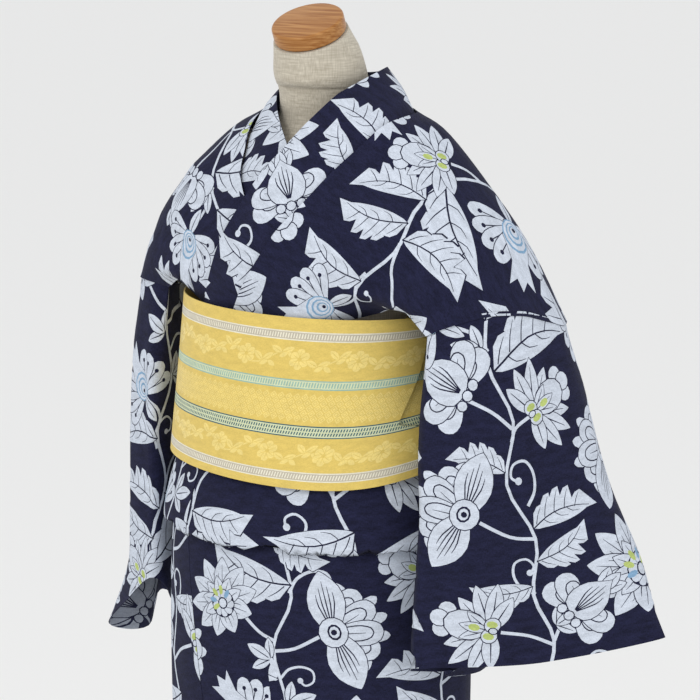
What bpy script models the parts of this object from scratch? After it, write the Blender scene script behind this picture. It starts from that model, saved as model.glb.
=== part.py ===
"""A cotton yukata robe with its half-width sash, worn on a limbless dress form that stands on its own base.

The wearer faces -Y, the wearer's left is +X, and the origin is on the floor at the centre of the base.
Every cloth piece is a grid of points that follows a short table of sections, thickened to the cloth's wall.
"""

import math

import bmesh
import bpy
import numpy as np

# Driving sizes in metres.
CLOTH_WALL = 0.0014
COLLAR_WALL = 0.0022
OBI_WALL = 0.0018
SEAM_GAP = 0.0004
HEM_HEIGHT = 0.075
WAIST_FOLD_EDGE = 0.905
OBI_BOTTOM = 0.971
OBI_TOP = 1.131
FORM_BOTTOM = 0.700
NECK_LEAN = math.radians(25)
NECK_LENGTH = 0.053
CAP_RADIUS = 0.0350
CAP_THICKNESS = 0.0155
POLE_RADIUS = 0.0125
BASE_RADIUS = 0.170
BASE_THICKNESS = 0.012

# How far each layer lies outside the surface that the skirt and the bodice are measured from.
RIGHT_LAYER = 0.0010
LEFT_LAYER = 0.0040
FOLD_LAYER = 0.0080

# The dress form. Columns: height, half width, front, back.
FORM_SECTIONS = (
    (1.336, 0.0450, -0.026, 0.058),
    (1.322, 0.0470, -0.022, 0.070),
    (1.304, 0.0540, -0.018, 0.078),
    (1.290, 0.0830, -0.022, 0.084),
    (1.275, 0.1100, -0.036, 0.087),
    (1.255, 0.1260, -0.047, 0.089),
    (1.230, 0.1320, -0.059, 0.090),
    (1.195, 0.1290, -0.071, 0.088),
    (1.150, 0.1200, -0.077, 0.085),
    (1.100, 0.1150, -0.080, 0.083),
    (1.040, 0.1170, -0.084, 0.085),
    (0.970, 0.1300, -0.096, 0.100),
    (0.850, 0.1400, -0.108, 0.119),
    (0.760, 0.1360, -0.105, 0.114),
    (0.700, 0.1240, -0.096, 0.100),
)

# The wrapped skirt, from under the sash to the hem. Columns: height, half width, front, back.
SKIRT_SECTIONS = (
    (1.000, 0.1290, -0.0950, 0.0970),
    (0.960, 0.1370, -0.1030, 0.1060),
    (0.900, 0.1460, -0.1130, 0.1230),
    (0.800, 0.1490, -0.1160, 0.1300),
    (0.660, 0.1470, -0.1160, 0.1280),
    (0.480, 0.1430, -0.1130, 0.1230),
    (0.280, 0.1390, -0.1110, 0.1170),
    (0.075, 0.1370, -0.1100, 0.1150),
)

# The sash where it lies flat. Columns: height, half width, front, back.
OBI_SECTIONS = (
    (1.137, 0.1345, -0.1055, 0.1045),
    (1.090, 0.1385, -0.1090, 0.1070),
    (1.050, 0.1430, -0.1115, 0.1110),
    (1.010, 0.1480, -0.1150, 0.1180),
    (0.960, 0.1540, -0.1190, 0.1260),
)


def spline(points, pieces, closed=False):
    """Points of a smooth curve through the given ones, with as many pieces between each two."""
    points = np.asarray(points, float)
    count = len(points)
    if closed:
        before, after = np.roll(points, 1, axis=0), np.roll(points, -1, axis=0)
        after_next = np.roll(points, -2, axis=0)
        spans = count
    else:
        before = np.vstack([2 * points[:1] - points[1:2], points[:-1]])
        after = np.vstack([points[1:], 2 * points[-1:] - points[-2:-1]])
        after_next = np.vstack([after[1:], after[-1:]])
        spans = count - 1
    curve = []
    for i in range(spans):
        slope_here = (after[i] - before[i]) / 2
        slope_next = (after_next[i] - points[i]) / 2
        for k in range(pieces):
            t = k / pieces
            curve.append(
                (2 * t**3 - 3 * t**2 + 1) * points[i]
                + (t**3 - 2 * t**2 + t) * slope_here
                + (3 * t**2 - 2 * t**3) * after[i]
                + (t**3 - t**2) * slope_next
            )
    if not closed:
        curve.append(points[-1])
    return np.array(curve)


def net(rows, across, along, closed=False):
    """A grid through a table of points: rows are stations, columns are named points."""
    lines = [spline(row, across, closed) for row in rows]
    return spline(np.array(lines), along)


def section_at(table, height):
    """Half width, front and back of a table of sections at a height."""
    heights = [row[0] for row in table][::-1]
    columns = zip(*[row[1:] for row in table][::-1])
    return [float(np.interp(height, heights, column)) for column in columns]


def around(table, angle, height, out=0.0):
    """A point at an angle from the front towards the wearer's left, moved out of the section."""
    half_width, front, back = section_at(table, height)
    half_depth = (back - front) / 2
    middle = (back + front) / 2
    turn = math.radians(angle)
    point = np.array([half_width * math.sin(turn), -half_depth * math.cos(turn)])
    normal = np.array([math.sin(turn) / half_width, -math.cos(turn) / half_depth])
    point = point + out * normal / np.linalg.norm(normal)
    return np.array([point[0], middle + point[1], height])


def material(name, colour, roughness, metallic=0.0):
    made = bpy.data.materials.new(name)
    made.use_nodes = True
    shader = made.node_tree.nodes["Principled BSDF"]
    shader.inputs["Base Color"].default_value = (*colour, 1)
    shader.inputs["Roughness"].default_value = roughness
    shader.inputs["Metallic"].default_value = metallic
    made.diffuse_color = (*colour, 1)
    return made


def add_object(name, mesh, finish):
    made = bpy.data.objects.new(name, mesh)
    made.data.materials.append(finish)
    parts.objects.link(made)
    return made


def grid_faces(rows, columns, closed):
    """Quads of a grid of points, closed round if its columns are a ring."""
    faces = []
    for i in range(rows - 1):
        for j in range(columns if closed else columns - 1):
            k = (j + 1) % columns
            faces.append((i * columns + j, i * columns + k, (i + 1) * columns + k, (i + 1) * columns + j))
    return faces


def sheet(name, grid, wall, finish, closed=False, flip=False, more_faces=()):
    """A cloth piece: the grid's surface with the wall's thickness, half on each side."""
    rows, columns = grid.shape[:2]
    faces = grid_faces(rows, columns, closed) + list(more_faces)
    if flip:
        faces = [face[::-1] for face in faces]
    mesh = bpy.data.meshes.new(name)
    mesh.from_pydata([tuple(p) for p in grid.reshape(-1, 3)], [], faces)
    mesh.shade_smooth()
    made = add_object(name, mesh, finish)
    solid = made.modifiers.new("wall", "SOLIDIFY")
    solid.thickness = wall
    solid.offset = 0
    solid.use_even_offset = True
    solid.thickness_clamp = 1.0
    return made


def lofted_solid(name, rings, finish):
    """A closed solid through rings of points, with a flat cap at each end."""
    mesh = bmesh.new()
    loops = [[mesh.verts.new(p) for p in ring] for ring in rings]
    for lower, upper in zip(loops, loops[1:]):
        for j in range(len(lower)):
            k = (j + 1) % len(lower)
            mesh.faces.new((lower[j], lower[k], upper[k], upper[j]))
    mesh.faces.new(loops[0][::-1])
    mesh.faces.new(loops[-1])
    bmesh.ops.recalc_face_normals(mesh, faces=mesh.faces)
    data = bpy.data.meshes.new(name)
    mesh.to_mesh(data)
    mesh.free()
    data.shade_smooth()
    return add_object(name, data, finish)


# --- the dress form -------------------------------------------------------------------------------

def form_torso():
    """The smooth torso, with a rounded bottom rim and sloping shoulders."""
    rings = []
    for height, *_ in FORM_SECTIONS[::-1]:
        rings.append([around(FORM_SECTIONS, a, height) for a in range(0, 360, 15)])
    centre = np.mean(rings[0], axis=0)
    under = [centre + (p - centre) * 0.86 - np.array([0, 0, 0.014]) for p in rings[0]]
    return lofted_solid("form_torso", [under] + rings, linen)


def leaning(height_above, radius, steps=24):
    """A ring of the neck: it stands on the torso's top and leans forward with height."""
    base = np.array([0.0, 0.0150, 1.3363])
    axis = np.array([0.0, -math.sin(NECK_LEAN), math.cos(NECK_LEAN)])
    tilt = min(1.0, height_above / 0.030)
    lean = NECK_LEAN * tilt
    forward = np.array([0.0, math.cos(lean), math.sin(lean)])
    centre = base + axis * height_above
    ring = []
    for i in range(steps):
        turn = 2 * math.pi * i / steps
        ring.append(centre + radius * (math.sin(turn) * np.array([1.0, 0, 0]) - math.cos(turn) * forward))
    return ring


def form_neck():
    # Columns: distance along the neck, radius.
    table = ((0.0, 0.0445), (0.014, 0.0440), (0.028, 0.0425), (0.040, 0.0395), (NECK_LENGTH, 0.0365))
    return lofted_solid("form_neck", [leaning(*row) for row in table], linen)


def form_cap():
    start = NECK_LENGTH + SEAM_GAP
    edge = 0.0025
    table = (
        (start, CAP_RADIUS),
        (start + CAP_THICKNESS - edge, CAP_RADIUS),
        (start + CAP_THICKNESS, CAP_RADIUS - edge),
    )
    return lofted_solid("form_cap", [leaning(*row) for row in table], oak)


def turned(name, profile, finish):
    """A turned piece: a profile of radius and height, from the top of its outer side to the bottom."""
    mesh = bpy.data.meshes.new(name)
    mesh.from_pydata([(r, 0, z) for r, z in profile], [(i, i + 1) for i in range(len(profile) - 1)], [])
    made = add_object(name, mesh, finish)
    screw = made.modifiers.new("turn", "SCREW")
    screw.steps = screw.render_steps = 32
    screw.use_merge_vertices = True
    screw.merge_threshold = 0.0001
    screw.use_smooth_shade = True
    return made


def form_stand():
    """The pole and the round base, each turned about the upright axis."""
    pole_top = FORM_BOTTOM - 0.014 - SEAM_GAP
    pole_foot = BASE_THICKNESS + SEAM_GAP
    collar_top = pole_foot + 0.030
    turned(
        "form_pole",
        (
            (0, pole_top),
            (POLE_RADIUS, pole_top),
            (POLE_RADIUS, collar_top),
            (POLE_RADIUS + 0.012, collar_top - 0.004),
            (POLE_RADIUS + 0.016, pole_foot),
            (0, pole_foot),
        ),
        steel,
    )
    turned(
        "form_base",
        (
            (0, BASE_THICKNESS),
            (BASE_RADIUS - 0.006, BASE_THICKNESS),
            (BASE_RADIUS, BASE_THICKNESS - 0.004),
            (BASE_RADIUS, 0),
            (0, 0),
        ),
        steel,
    )


# --- the collar -----------------------------------------------------------------------------------

# The collar band, from the wearer's right front under the left, round the neck, to the left front.
# Columns: the free upper edge and the seam edge, each as x, y, z.
COLLAR_STATIONS = (
    ((0.0660, -0.0790, 1.160), (0.0680, -0.0735, 1.119)),
    ((0.0420, -0.0810, 1.205), (0.0150, -0.0845, 1.162)),
    ((0.0220, -0.0710, 1.248), (-0.0180, -0.0800, 1.210)),
    ((0.0040, -0.0545, 1.281), (-0.0440, -0.0620, 1.247)),
    ((-0.0185, -0.0330, 1.302), (-0.0540, -0.0380, 1.272)),
    ((-0.0410, -0.0040, 1.320), (-0.0620, -0.0140, 1.291)),
    ((-0.0500, 0.0200, 1.331), (-0.0690, 0.0180, 1.302)),
    ((-0.0500, 0.0500, 1.338), (-0.0760, 0.0560, 1.305)),
    ((-0.0300, 0.0760, 1.341), (-0.0460, 0.0880, 1.303)),
    ((0.0000, 0.0860, 1.341), (0.0000, 0.0980, 1.302)),
    ((0.0310, 0.0740, 1.345), (0.0480, 0.0860, 1.306)),
    ((0.0520, 0.0470, 1.352), (0.0790, 0.0520, 1.307)),
    ((0.0600, 0.0150, 1.350), (0.0980, 0.0180, 1.308)),
    ((0.0500, -0.0245, 1.337), (0.0960, -0.0300, 1.302)),
    ((0.0420, -0.0355, 1.329), (0.0830, -0.0510, 1.284)),
    ((0.0240, -0.0560, 1.305), (0.0640, -0.0760, 1.258)),
    ((0.0080, -0.0690, 1.283), (0.0450, -0.0940, 1.231)),
    ((-0.0080, -0.0800, 1.262), (0.0270, -0.1070, 1.208)),
    ((-0.0240, -0.0890, 1.235), (0.0090, -0.1090, 1.182)),
    ((-0.0460, -0.0950, 1.197), (-0.0110, -0.1060, 1.153)),
    ((-0.0640, -0.0900, 1.155), (-0.0290, -0.0950, 1.126)),
    ((-0.0780, -0.0790, 1.116), (-0.0400, -0.0950, 1.103)),
)


def collar_grid():
    """The folded collar band, slightly rounded across its width."""
    rows = []
    for upper, seam in COLLAR_STATIONS:
        upper, seam = np.array(upper), np.array(seam)
        middle = (upper + seam) / 2
        outward = middle - np.array([0, 0.015, middle[2] - 0.03])
        rows.append((upper, middle + 0.003 * outward / np.linalg.norm(outward), seam))
    return net(rows, 2, 1)


# --- the bodice -----------------------------------------------------------------------------------

# Each half of the bodice is one length of cloth over the shoulder, from the sash at the front to the sash
# at the back. Each row runs from the collar's seam (or the centre back) to the armhole seam.
# Columns: collar station or centre point, chest, shoulder, overhang, armhole seam, each as x, y, z.
LEFT_BODICE = (
    (21, (0.045, -0.0925, 1.118), (0.101, -0.058, 1.132), (0.14, -0.078, 1.144), (0.173, -0.086, 1.122)),
    (20, (0.055, -0.0975, 1.139), (0.108, -0.078, 1.146), (0.152, -0.09, 1.144), (0.188, -0.085, 1.129)),
    (19, (0.062, -0.103, 1.158), (0.116, -0.092, 1.156), (0.164, -0.092, 1.152), (0.206, -0.078, 1.136)),
    (18, (0.072, -0.106, 1.182), (0.124, -0.094, 1.175), (0.174, -0.087, 1.164), (0.219, -0.067, 1.14)),
    (17, (0.08, -0.101, 1.202), (0.132, -0.09, 1.192), (0.182, -0.079, 1.175), (0.229, -0.054, 1.141)),
    (16, (0.09, -0.093, 1.221), (0.139, -0.082, 1.208), (0.189, -0.069, 1.185), (0.237, -0.04, 1.14)),
    (15, (0.1, -0.078, 1.243), (0.147, -0.07, 1.223), (0.196, -0.057, 1.192), (0.244, -0.025, 1.138)),
    (14, (0.111, -0.055, 1.266), (0.156, -0.051, 1.237), (0.204, -0.041, 1.196), (0.25, -0.009, 1.133)),
    (13, (0.122, -0.03, 1.286), (0.165, -0.028, 1.248), (0.211, -0.021, 1.198), (0.2545, 0.007, 1.128)),
    (12, (0.128, 0.02, 1.2965), (0.172, 0.021, 1.252), (0.216, 0.021, 1.198), (0.257, 0.025, 1.123)),
    (11, (0.113, 0.059, 1.289), (0.156, 0.064, 1.24), (0.198, 0.07, 1.184), (0.233, 0.076, 1.118)),
    (10, (0.092, 0.095, 1.274), (0.135, 0.101, 1.229), (0.174, 0.106, 1.175), (0.206, 0.11, 1.113)),
    (9, (0.06, 0.107, 1.254), (0.114, 0.113, 1.206), (0.154, 0.118, 1.16), (0.186, 0.124, 1.109)),
    ((0.0008, 0.108, 1.23), (0.058, 0.106, 1.195), (0.11, 0.1, 1.172), (0.144, 0.112, 1.142),
     (0.173, 0.122, 1.108)),
    ((0.0008, 0.096, 1.12), (0.056, 0.087, 1.12), (0.097, 0.056, 1.134), (0.133, 0.08, 1.147),
     (0.166, 0.106, 1.11)),
)
RIGHT_BODICE = (
    (0, (-0.03, -0.0915, 1.119), (-0.09, -0.064, 1.13), (-0.122, -0.05, 1.145), (-0.148, -0.034, 1.133)),
    (1, (-0.042, -0.0905, 1.15), (-0.099, -0.072, 1.15), (-0.134, -0.053, 1.151), (-0.164, -0.034, 1.136)),
    (2, (-0.056, -0.083, 1.19), (-0.106, -0.07, 1.183), (-0.145, -0.05, 1.166), (-0.179, -0.029, 1.137)),
    (3, (-0.076, -0.068, 1.222), (-0.116, -0.062, 1.208), (-0.156, -0.044, 1.178), (-0.191, -0.02, 1.137)),
    (4, (-0.086, -0.048, 1.251), (-0.124, -0.048, 1.226), (-0.164, -0.035, 1.188), (-0.2, -0.008, 1.135)),
    (5, (-0.093, -0.022, 1.276), (-0.131, -0.025, 1.243), (-0.172, -0.018, 1.195), (-0.208, 0.008, 1.131)),
    (6, (-0.103, 0.019, 1.29), (-0.142, 0.021, 1.256), (-0.187, 0.024, 1.202), (-0.22, 0.029, 1.124)),
    (7, (-0.106, 0.06, 1.287), (-0.148, 0.065, 1.246), (-0.19, 0.07, 1.19), (-0.219, 0.076, 1.117)),
    (8, (-0.089, 0.097, 1.272), (-0.134, 0.102, 1.23), (-0.173, 0.106, 1.177), (-0.203, 0.111, 1.113)),
    (9, (-0.06, 0.107, 1.254), (-0.114, 0.113, 1.206), (-0.154, 0.118, 1.16), (-0.186, 0.124, 1.109)),
    ((-0.0008, 0.108, 1.23), (-0.058, 0.106, 1.195), (-0.11, 0.1, 1.172), (-0.144, 0.112, 1.142),
     (-0.173, 0.122, 1.108)),
    ((-0.0008, 0.096, 1.12), (-0.056, 0.087, 1.12), (-0.097, 0.056, 1.134), (-0.133, 0.08, 1.147),
     (-0.166, 0.106, 1.11)),
)
COLLAR_TUCK = 0.0030
COLLAR_NECK_STATION = 9
CENTRE_BACK_GAP = 0.0008


def tucked_edge(station):
    """Where a body panel's edge lies under the collar: just inside its seam edge and below its wall."""
    grid = collar_grid()
    line = station
    ahead, behind = min(line + 1, len(grid) - 1), max(line - 1, 0)
    along = grid[ahead, -1] - grid[behind, -1]
    across = grid[line, -1] - grid[line, -2]
    across = across / np.linalg.norm(across)
    inward = np.cross(along, across)
    inward = inward / np.linalg.norm(inward)
    return grid[line, -1] - across * COLLAR_TUCK + inward * (COLLAR_WALL / 2 + CLOTH_WALL / 2 + 4 * SEAM_GAP)


def bodice(name, table, flip):
    rows = []
    for row in table:
        edge = tucked_edge(row[0]) if isinstance(row[0], int) else row[0]
        if row[0] == COLLAR_NECK_STATION:
            edge[0] = math.copysign(CENTRE_BACK_GAP, row[1][0])
        rows.append((edge, *row[1:]))
    return sheet(name, net(rows, 3, 1), CLOTH_WALL, print_cotton, flip=flip)


# --- the sleeves ----------------------------------------------------------------------------------

# A sleeve is one length of cloth folded over at the top, so each station is a ring. It hangs with its
# depth folded back along the body's side. Below the hand's opening the cuff is sewn shut.
# Columns: outer ridge, front middle, front fold, inner layer, closed corner, back inner, back valley,
# back bulge, each as x, y, z.
LEFT_SLEEVE = (
    ((0.258, 0.025, 1.1215), (0.233, -0.052, 1.139), (0.1735, -0.0868, 1.1205), (0.16, -0.02, 1.119),
     (0.162, 0.065, 1.112), (0.168, 0.1045, 1.1085), (0.188, 0.1245, 1.107), (0.234, 0.079, 1.116)),
    ((0.276, 0.026, 1.05), (0.238, -0.056, 1.056), (0.172, -0.088, 1.04), (0.162, -0.02, 1.035),
     (0.164, 0.07, 1.03), (0.176, 0.112, 1.025), (0.2, 0.118, 1.035), (0.243, 0.085, 1.044)),
    ((0.296, 0.033, 0.97), (0.245, -0.05, 0.97), (0.171, -0.089, 0.96), (0.165, -0.02, 0.95),
     (0.168, 0.07, 0.94), (0.182, 0.112, 0.935), (0.202, 0.08, 0.945), (0.262, 0.09, 0.96)),
    ((0.328, 0.045, 0.892), (0.254, -0.038, 0.886), (0.166, -0.089, 0.882), (0.166, -0.02, 0.87),
     (0.168, 0.076, 0.86), (0.18, 0.086, 0.86), (0.186, 0.0, 0.876), (0.286, 0.08, 0.885)),
    ((0.352, 0.056, 0.829), (0.26, -0.024, 0.81), (0.16, -0.088, 0.804), (0.1665, -0.018, 0.774),
     (0.166, 0.076, 0.786), (0.178, 0.006, 0.776), (0.178, -0.066, 0.806), (0.276, 0.026, 0.818)),
)
RIGHT_SLEEVE = (
    ((-0.221, 0.029, 1.1225), (-0.198, -0.012, 1.134), (-0.1485, -0.0348, 1.1315), (-0.156, 0.02, 1.126),
     (-0.162, 0.07, 1.114), (-0.168, 0.1045, 1.1085), (-0.188, 0.1245, 1.107), (-0.22, 0.078, 1.115)),
    ((-0.223, 0.031, 1.05), (-0.202, -0.016, 1.065), (-0.162, -0.038, 1.05), (-0.16, 0.02, 1.045),
     (-0.166, 0.074, 1.035), (-0.18, 0.112, 1.025), (-0.204, 0.113, 1.025), (-0.225, 0.088, 1.035)),
    ((-0.224, 0.033, 0.96), (-0.204, -0.018, 0.98), (-0.165, -0.04, 0.975), (-0.165, 0.02, 0.955),
     (-0.17, 0.076, 0.94), (-0.186, 0.112, 0.93), (-0.204, 0.088, 0.935), (-0.228, 0.09, 0.945)),
    ((-0.232, 0.035, 0.855), (-0.208, -0.016, 0.883), (-0.165, -0.04, 0.906), (-0.167, 0.02, 0.86),
     (-0.173, 0.08, 0.845), (-0.184, 0.088, 0.84), (-0.19, 0.03, 0.848), (-0.236, 0.082, 0.846)),
    ((-0.278, 0.038, 0.756), (-0.22, -0.008, 0.802), (-0.165, -0.038, 0.838), (-0.166, 0.024, 0.782),
     (-0.17, 0.086, 0.778), (-0.177, 0.028, 0.786), (-0.177, -0.018, 0.833), (-0.24, 0.056, 0.756)),
)
SLEEVE_ACROSS = 3
SLEEVE_FOLD_COLUMN = 2
SLEEVE_CORNER_COLUMN = 4


def sleeve(name, rows, flip):
    """The sleeve, with faces that close the cuff from its front fold to its rounded corner."""
    grid = net(rows, SLEEVE_ACROSS, 2, closed=True)
    columns = grid.shape[1]
    last = (grid.shape[0] - 1) * columns
    corner = SLEEVE_CORNER_COLUMN * SLEEVE_ACROSS
    closing = []
    for k in range((SLEEVE_CORNER_COLUMN - SLEEVE_FOLD_COLUMN) * SLEEVE_ACROSS):
        near, far = last + corner - k, last + corner + k
        closing.append((near - 1, near, far, far + 1) if k else (near - 1, near, far + 1))
    return sheet(name, grid, CLOTH_WALL, print_cotton, closed=True, flip=flip, more_faces=closing)


# --- the waist fold and the skirt -----------------------------------------------------------------

# The skirt's upright edges and seams, as angles. Columns: height, left panel's front edge and its seam,
# right panel's seam and its front edge.
SKIRT_EDGES = (
    (1.000, -104, -42, 32, 94),
    (0.780, -86, -26, 27, 88),
    (0.730, -81, -22, 26, 87),
    (0.500, -74, -14, 24, 85),
    (0.075, -70, -10, 22, 82),
)


def edge_angle(height, column):
    return float(np.interp(height, [row[0] for row in SKIRT_EDGES][::-1], [row[column] for row in SKIRT_EDGES][::-1]))


def wrapped(name, start, end, heights, out, across):
    """A stretch of the skirt between two edges, each a fixed angle or a column of the edge table and a shift."""
    grid = []
    for height in heights:
        ends = [edge_angle(height, e[0]) + e[1] if isinstance(e, tuple) else e for e in (start, end)]
        angles = np.linspace(ends[0], ends[1], across + 1)
        grid.append([around(SKIRT_SECTIONS, a, height, out) for a in angles])
    return sheet(name, np.array(grid), CLOTH_WALL, print_cotton, flip=True)


def skirt():
    """The right front lies under the left, and each front ends in its overlap panel."""
    heights = np.array([0.995, 0.96, 0.92, 0.86, 0.78, 0.66, 0.48, 0.28, HEM_HEIGHT])
    seam = 0.15
    wrapped("left_body_skirt", (2, seam), 179.8, heights, LEFT_LAYER, 18)
    wrapped("left_overlap_skirt", (1, 0), (2, -seam), heights, LEFT_LAYER, 6)
    wrapped("right_body_skirt", -179.8, (3, -seam), heights, RIGHT_LAYER, 18)
    wrapped("right_overlap_skirt", (3, seam), (4, 0), heights, RIGHT_LAYER, 6)


def waist_fold():
    """The length taken up at the waist: a fold that hangs out from under the sash all round."""
    # Columns: height, how far out.
    profile = (
        (0.985, -0.0010),
        (0.955, 0.0040),
        (0.930, 0.0062),
        (WAIST_FOLD_EDGE + 0.008, 0.0068),
        (WAIST_FOLD_EDGE, 0.0052),
        (WAIST_FOLD_EDGE + 0.007, 0.0036),
    )
    seam = 0.25
    for name, start, end in (
        ("waist_fold_left", -30 + seam, 180 - seam),
        ("waist_fold_overlap", -112, -30 - seam),
        ("waist_fold_right", -180 + seam, -112 - seam - 0.4),
    ):
        steps = max(4, round((end - start) / 9))
        grid = []
        for height, out in profile:
            row = []
            for a in np.linspace(start, end, steps + 1):
                lift = 0.006 * (0.5 - 0.5 * math.cos(math.radians(a)))
                row.append(around(SKIRT_SECTIONS, a, height + lift, FOLD_LAYER + out))
            grid.append(row)
        sheet(name, np.array(grid), CLOTH_WALL, print_cotton, flip=True)


# --- the sash -------------------------------------------------------------------------------------

# Where the front turn of the sash ends, from its top edge to its bottom edge.
# Columns: share of the height from the top, angle.
OBI_FRONT_END = ((0.0, 86.0), (0.10, 82.0), (0.34, 74.5), (0.58, 63.0), (0.68, 59.5), (0.85, 58.5), (1.0, 58.0))


def obi_edge_heights(angle):
    """Top and bottom edge of the sash, which tilts, and rises a little at the wearer's left side."""
    side = math.sin(math.radians(angle))
    lift = 0.022 * max(0.0, side) ** 4
    return OBI_TOP - 0.004 * side, OBI_BOTTOM - 0.008 * side + lift


def obi_point(angle, share, out):
    top, bottom = obi_edge_heights(angle)
    return around(OBI_SECTIONS, angle, top + (bottom - top) * share, out)


def obi():
    shares = np.array([row[0] for row in OBI_FRONT_END])
    ends = np.array([row[1] for row in OBI_FRONT_END])
    rows = np.linspace(0, 1, 7)
    front = []
    for share in rows:
        end = float(np.interp(share, shares, ends))
        angles = np.linspace(-172, end, 24)
        front.append([obi_point(a, share, 0.0) for a in angles])
    sheet("obi_front_turn", np.array(front), OBI_WALL, gold_obi, flip=True)
    side = []
    for share in rows:
        row = []
        end = float(np.interp(share, shares, ends))
        for k, a in enumerate(np.linspace(end - 16, 200, 18)):
            sunk = 0.0030 + 0.004 * max(0.0, 1 - share / 0.6) * math.exp(-(((a - 84) / 22) ** 2))
            row.append(obi_point(a, share, -sunk))
        side.append(row)
    sheet("obi_side_turn", np.array(side), OBI_WALL, gold_obi, flip=True)


# A bow's wing is a loop of the sash. Columns: x, y, half height, droop of the middle line.
BOW_WING = (
    (0.0210, 0.1370, 0.026, 0.000),
    (0.0450, 0.1290, 0.046, 0.002),
    (0.0800, 0.1250, 0.066, 0.006),
    (0.1120, 0.1280, 0.076, 0.012),
    (0.1270, 0.1440, 0.079, 0.015),
    (0.1120, 0.1620, 0.076, 0.012),
    (0.0800, 0.1680, 0.066, 0.006),
    (0.0450, 0.1640, 0.046, 0.002),
    (0.0210, 0.1520, 0.026, 0.000),
)
BOW_HEIGHT = 1.062


def bow_wing(name, side):
    rows = []
    for x, y, half, droop in BOW_WING:
        row = []
        for share in np.linspace(-1, 1, 7):
            bow_out = 0.006 * (1 - share * share)
            spread = y + (bow_out if y > 0.144 else -bow_out * 0.4)
            row.append((side * x, spread, BOW_HEIGHT - droop + share * half))
        rows.append(row)
    grid = np.array(rows)
    return sheet(name, grid, OBI_WALL, gold_obi, flip=side < 0)


def bow_knot():
    """The knot is a ring of cloth that holds the wings, upright and taller than it is deep."""
    rings = []
    for height in np.linspace(-0.036, 0.036, 7):
        swell = math.sqrt(max(0.0, 1 - (height / 0.044) ** 2))
        ring = []
        for i in range(20):
            turn = 2 * math.pi * i / 20
            ring.append((0.0195 * swell * math.cos(turn), 0.1435 + 0.030 * swell * math.sin(turn), BOW_HEIGHT + height))
        rings.append(ring)
    return lofted_solid("bow_knot", rings, gold_obi)


for old in list(bpy.data.objects):
    bpy.data.objects.remove(old, do_unlink=True)

parts = bpy.data.collections.new("yukata_on_dress_form")
bpy.context.scene.collection.children.link(parts)

print_cotton = material("printed cotton", (0.045, 0.050, 0.140), 0.85)
gold_obi = material("yellow sash", (0.80, 0.62, 0.16), 0.55)
linen = material("linen", (0.56, 0.49, 0.38), 0.90)
oak = material("oak", (0.50, 0.25, 0.07), 0.45)
steel = material("painted steel", (0.75, 0.75, 0.74), 0.40)

form_torso()
form_neck()
form_cap()
form_stand()
sheet("collar", collar_grid(), COLLAR_WALL, print_cotton)
bodice("left_bodice", LEFT_BODICE, True)
bodice("right_bodice", RIGHT_BODICE, False)
sleeve("left_sleeve", LEFT_SLEEVE, False)
sleeve("right_sleeve", RIGHT_SLEEVE, True)
waist_fold()
skirt()
obi()
bow_wing("bow_left_wing", 1)
bow_wing("bow_right_wing", -1)
bow_knot()
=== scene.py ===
# %% [markdown]
# # A cotton yukata on its dress form
#
# The object is a summer robe of navy cotton with a white print of flowers and vines, held by a flat yellow
# sash and worn on a dress form without limbs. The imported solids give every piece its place. This lesson cuts
# each cloth piece again as a fine sheet, prints it, presses the creases into it and puts it on its solid.

# %% Start
import math

import bpy
import numpy as np
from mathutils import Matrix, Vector
from mathutils.bvhtree import BVHTree
from mathutils.geometry import delaunay_2d_cdt


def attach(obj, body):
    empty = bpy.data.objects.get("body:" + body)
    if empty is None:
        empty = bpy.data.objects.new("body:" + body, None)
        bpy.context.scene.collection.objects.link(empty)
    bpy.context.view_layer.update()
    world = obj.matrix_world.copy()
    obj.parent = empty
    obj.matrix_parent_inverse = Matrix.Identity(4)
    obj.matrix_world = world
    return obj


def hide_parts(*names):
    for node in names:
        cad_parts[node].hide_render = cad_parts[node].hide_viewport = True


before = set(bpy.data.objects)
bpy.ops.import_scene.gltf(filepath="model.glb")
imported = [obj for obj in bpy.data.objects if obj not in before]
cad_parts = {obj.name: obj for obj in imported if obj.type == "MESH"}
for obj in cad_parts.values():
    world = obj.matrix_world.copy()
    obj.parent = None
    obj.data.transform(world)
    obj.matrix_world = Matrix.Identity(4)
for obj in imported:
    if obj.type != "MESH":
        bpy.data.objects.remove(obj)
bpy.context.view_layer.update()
print("nodes to dress:", len(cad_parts))

# %% [markdown]
# ## The pattern tables
#
# A tailor works from a few measured stations and fairs the line between them, so the same short tables that
# shaped the solids shape the fine cloth. Each row is a station and each column a named point of the piece.

# %% Tables
FORM_SECTIONS = (
    (1.336, 0.0450, -0.026, 0.058),
    (1.322, 0.0470, -0.022, 0.070),
    (1.304, 0.0540, -0.018, 0.078),
    (1.290, 0.0830, -0.022, 0.084),
    (1.275, 0.1100, -0.036, 0.087),
    (1.255, 0.1260, -0.047, 0.089),
    (1.230, 0.1320, -0.059, 0.090),
    (1.195, 0.1290, -0.071, 0.088),
    (1.150, 0.1200, -0.077, 0.085),
    (1.100, 0.1150, -0.080, 0.083),
    (1.040, 0.1170, -0.084, 0.085),
    (0.970, 0.1300, -0.096, 0.100),
    (0.850, 0.1400, -0.108, 0.119),
    (0.760, 0.1360, -0.105, 0.114),
    (0.700, 0.1240, -0.096, 0.100),
)

SKIRT_SECTIONS = (
    (1.000, 0.1290, -0.0950, 0.0970),
    (0.960, 0.1370, -0.1030, 0.1060),
    (0.900, 0.1460, -0.1130, 0.1230),
    (0.800, 0.1490, -0.1160, 0.1300),
    (0.660, 0.1470, -0.1160, 0.1280),
    (0.480, 0.1430, -0.1130, 0.1230),
    (0.280, 0.1390, -0.1110, 0.1170),
    (0.075, 0.1370, -0.1100, 0.1150),
)

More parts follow.
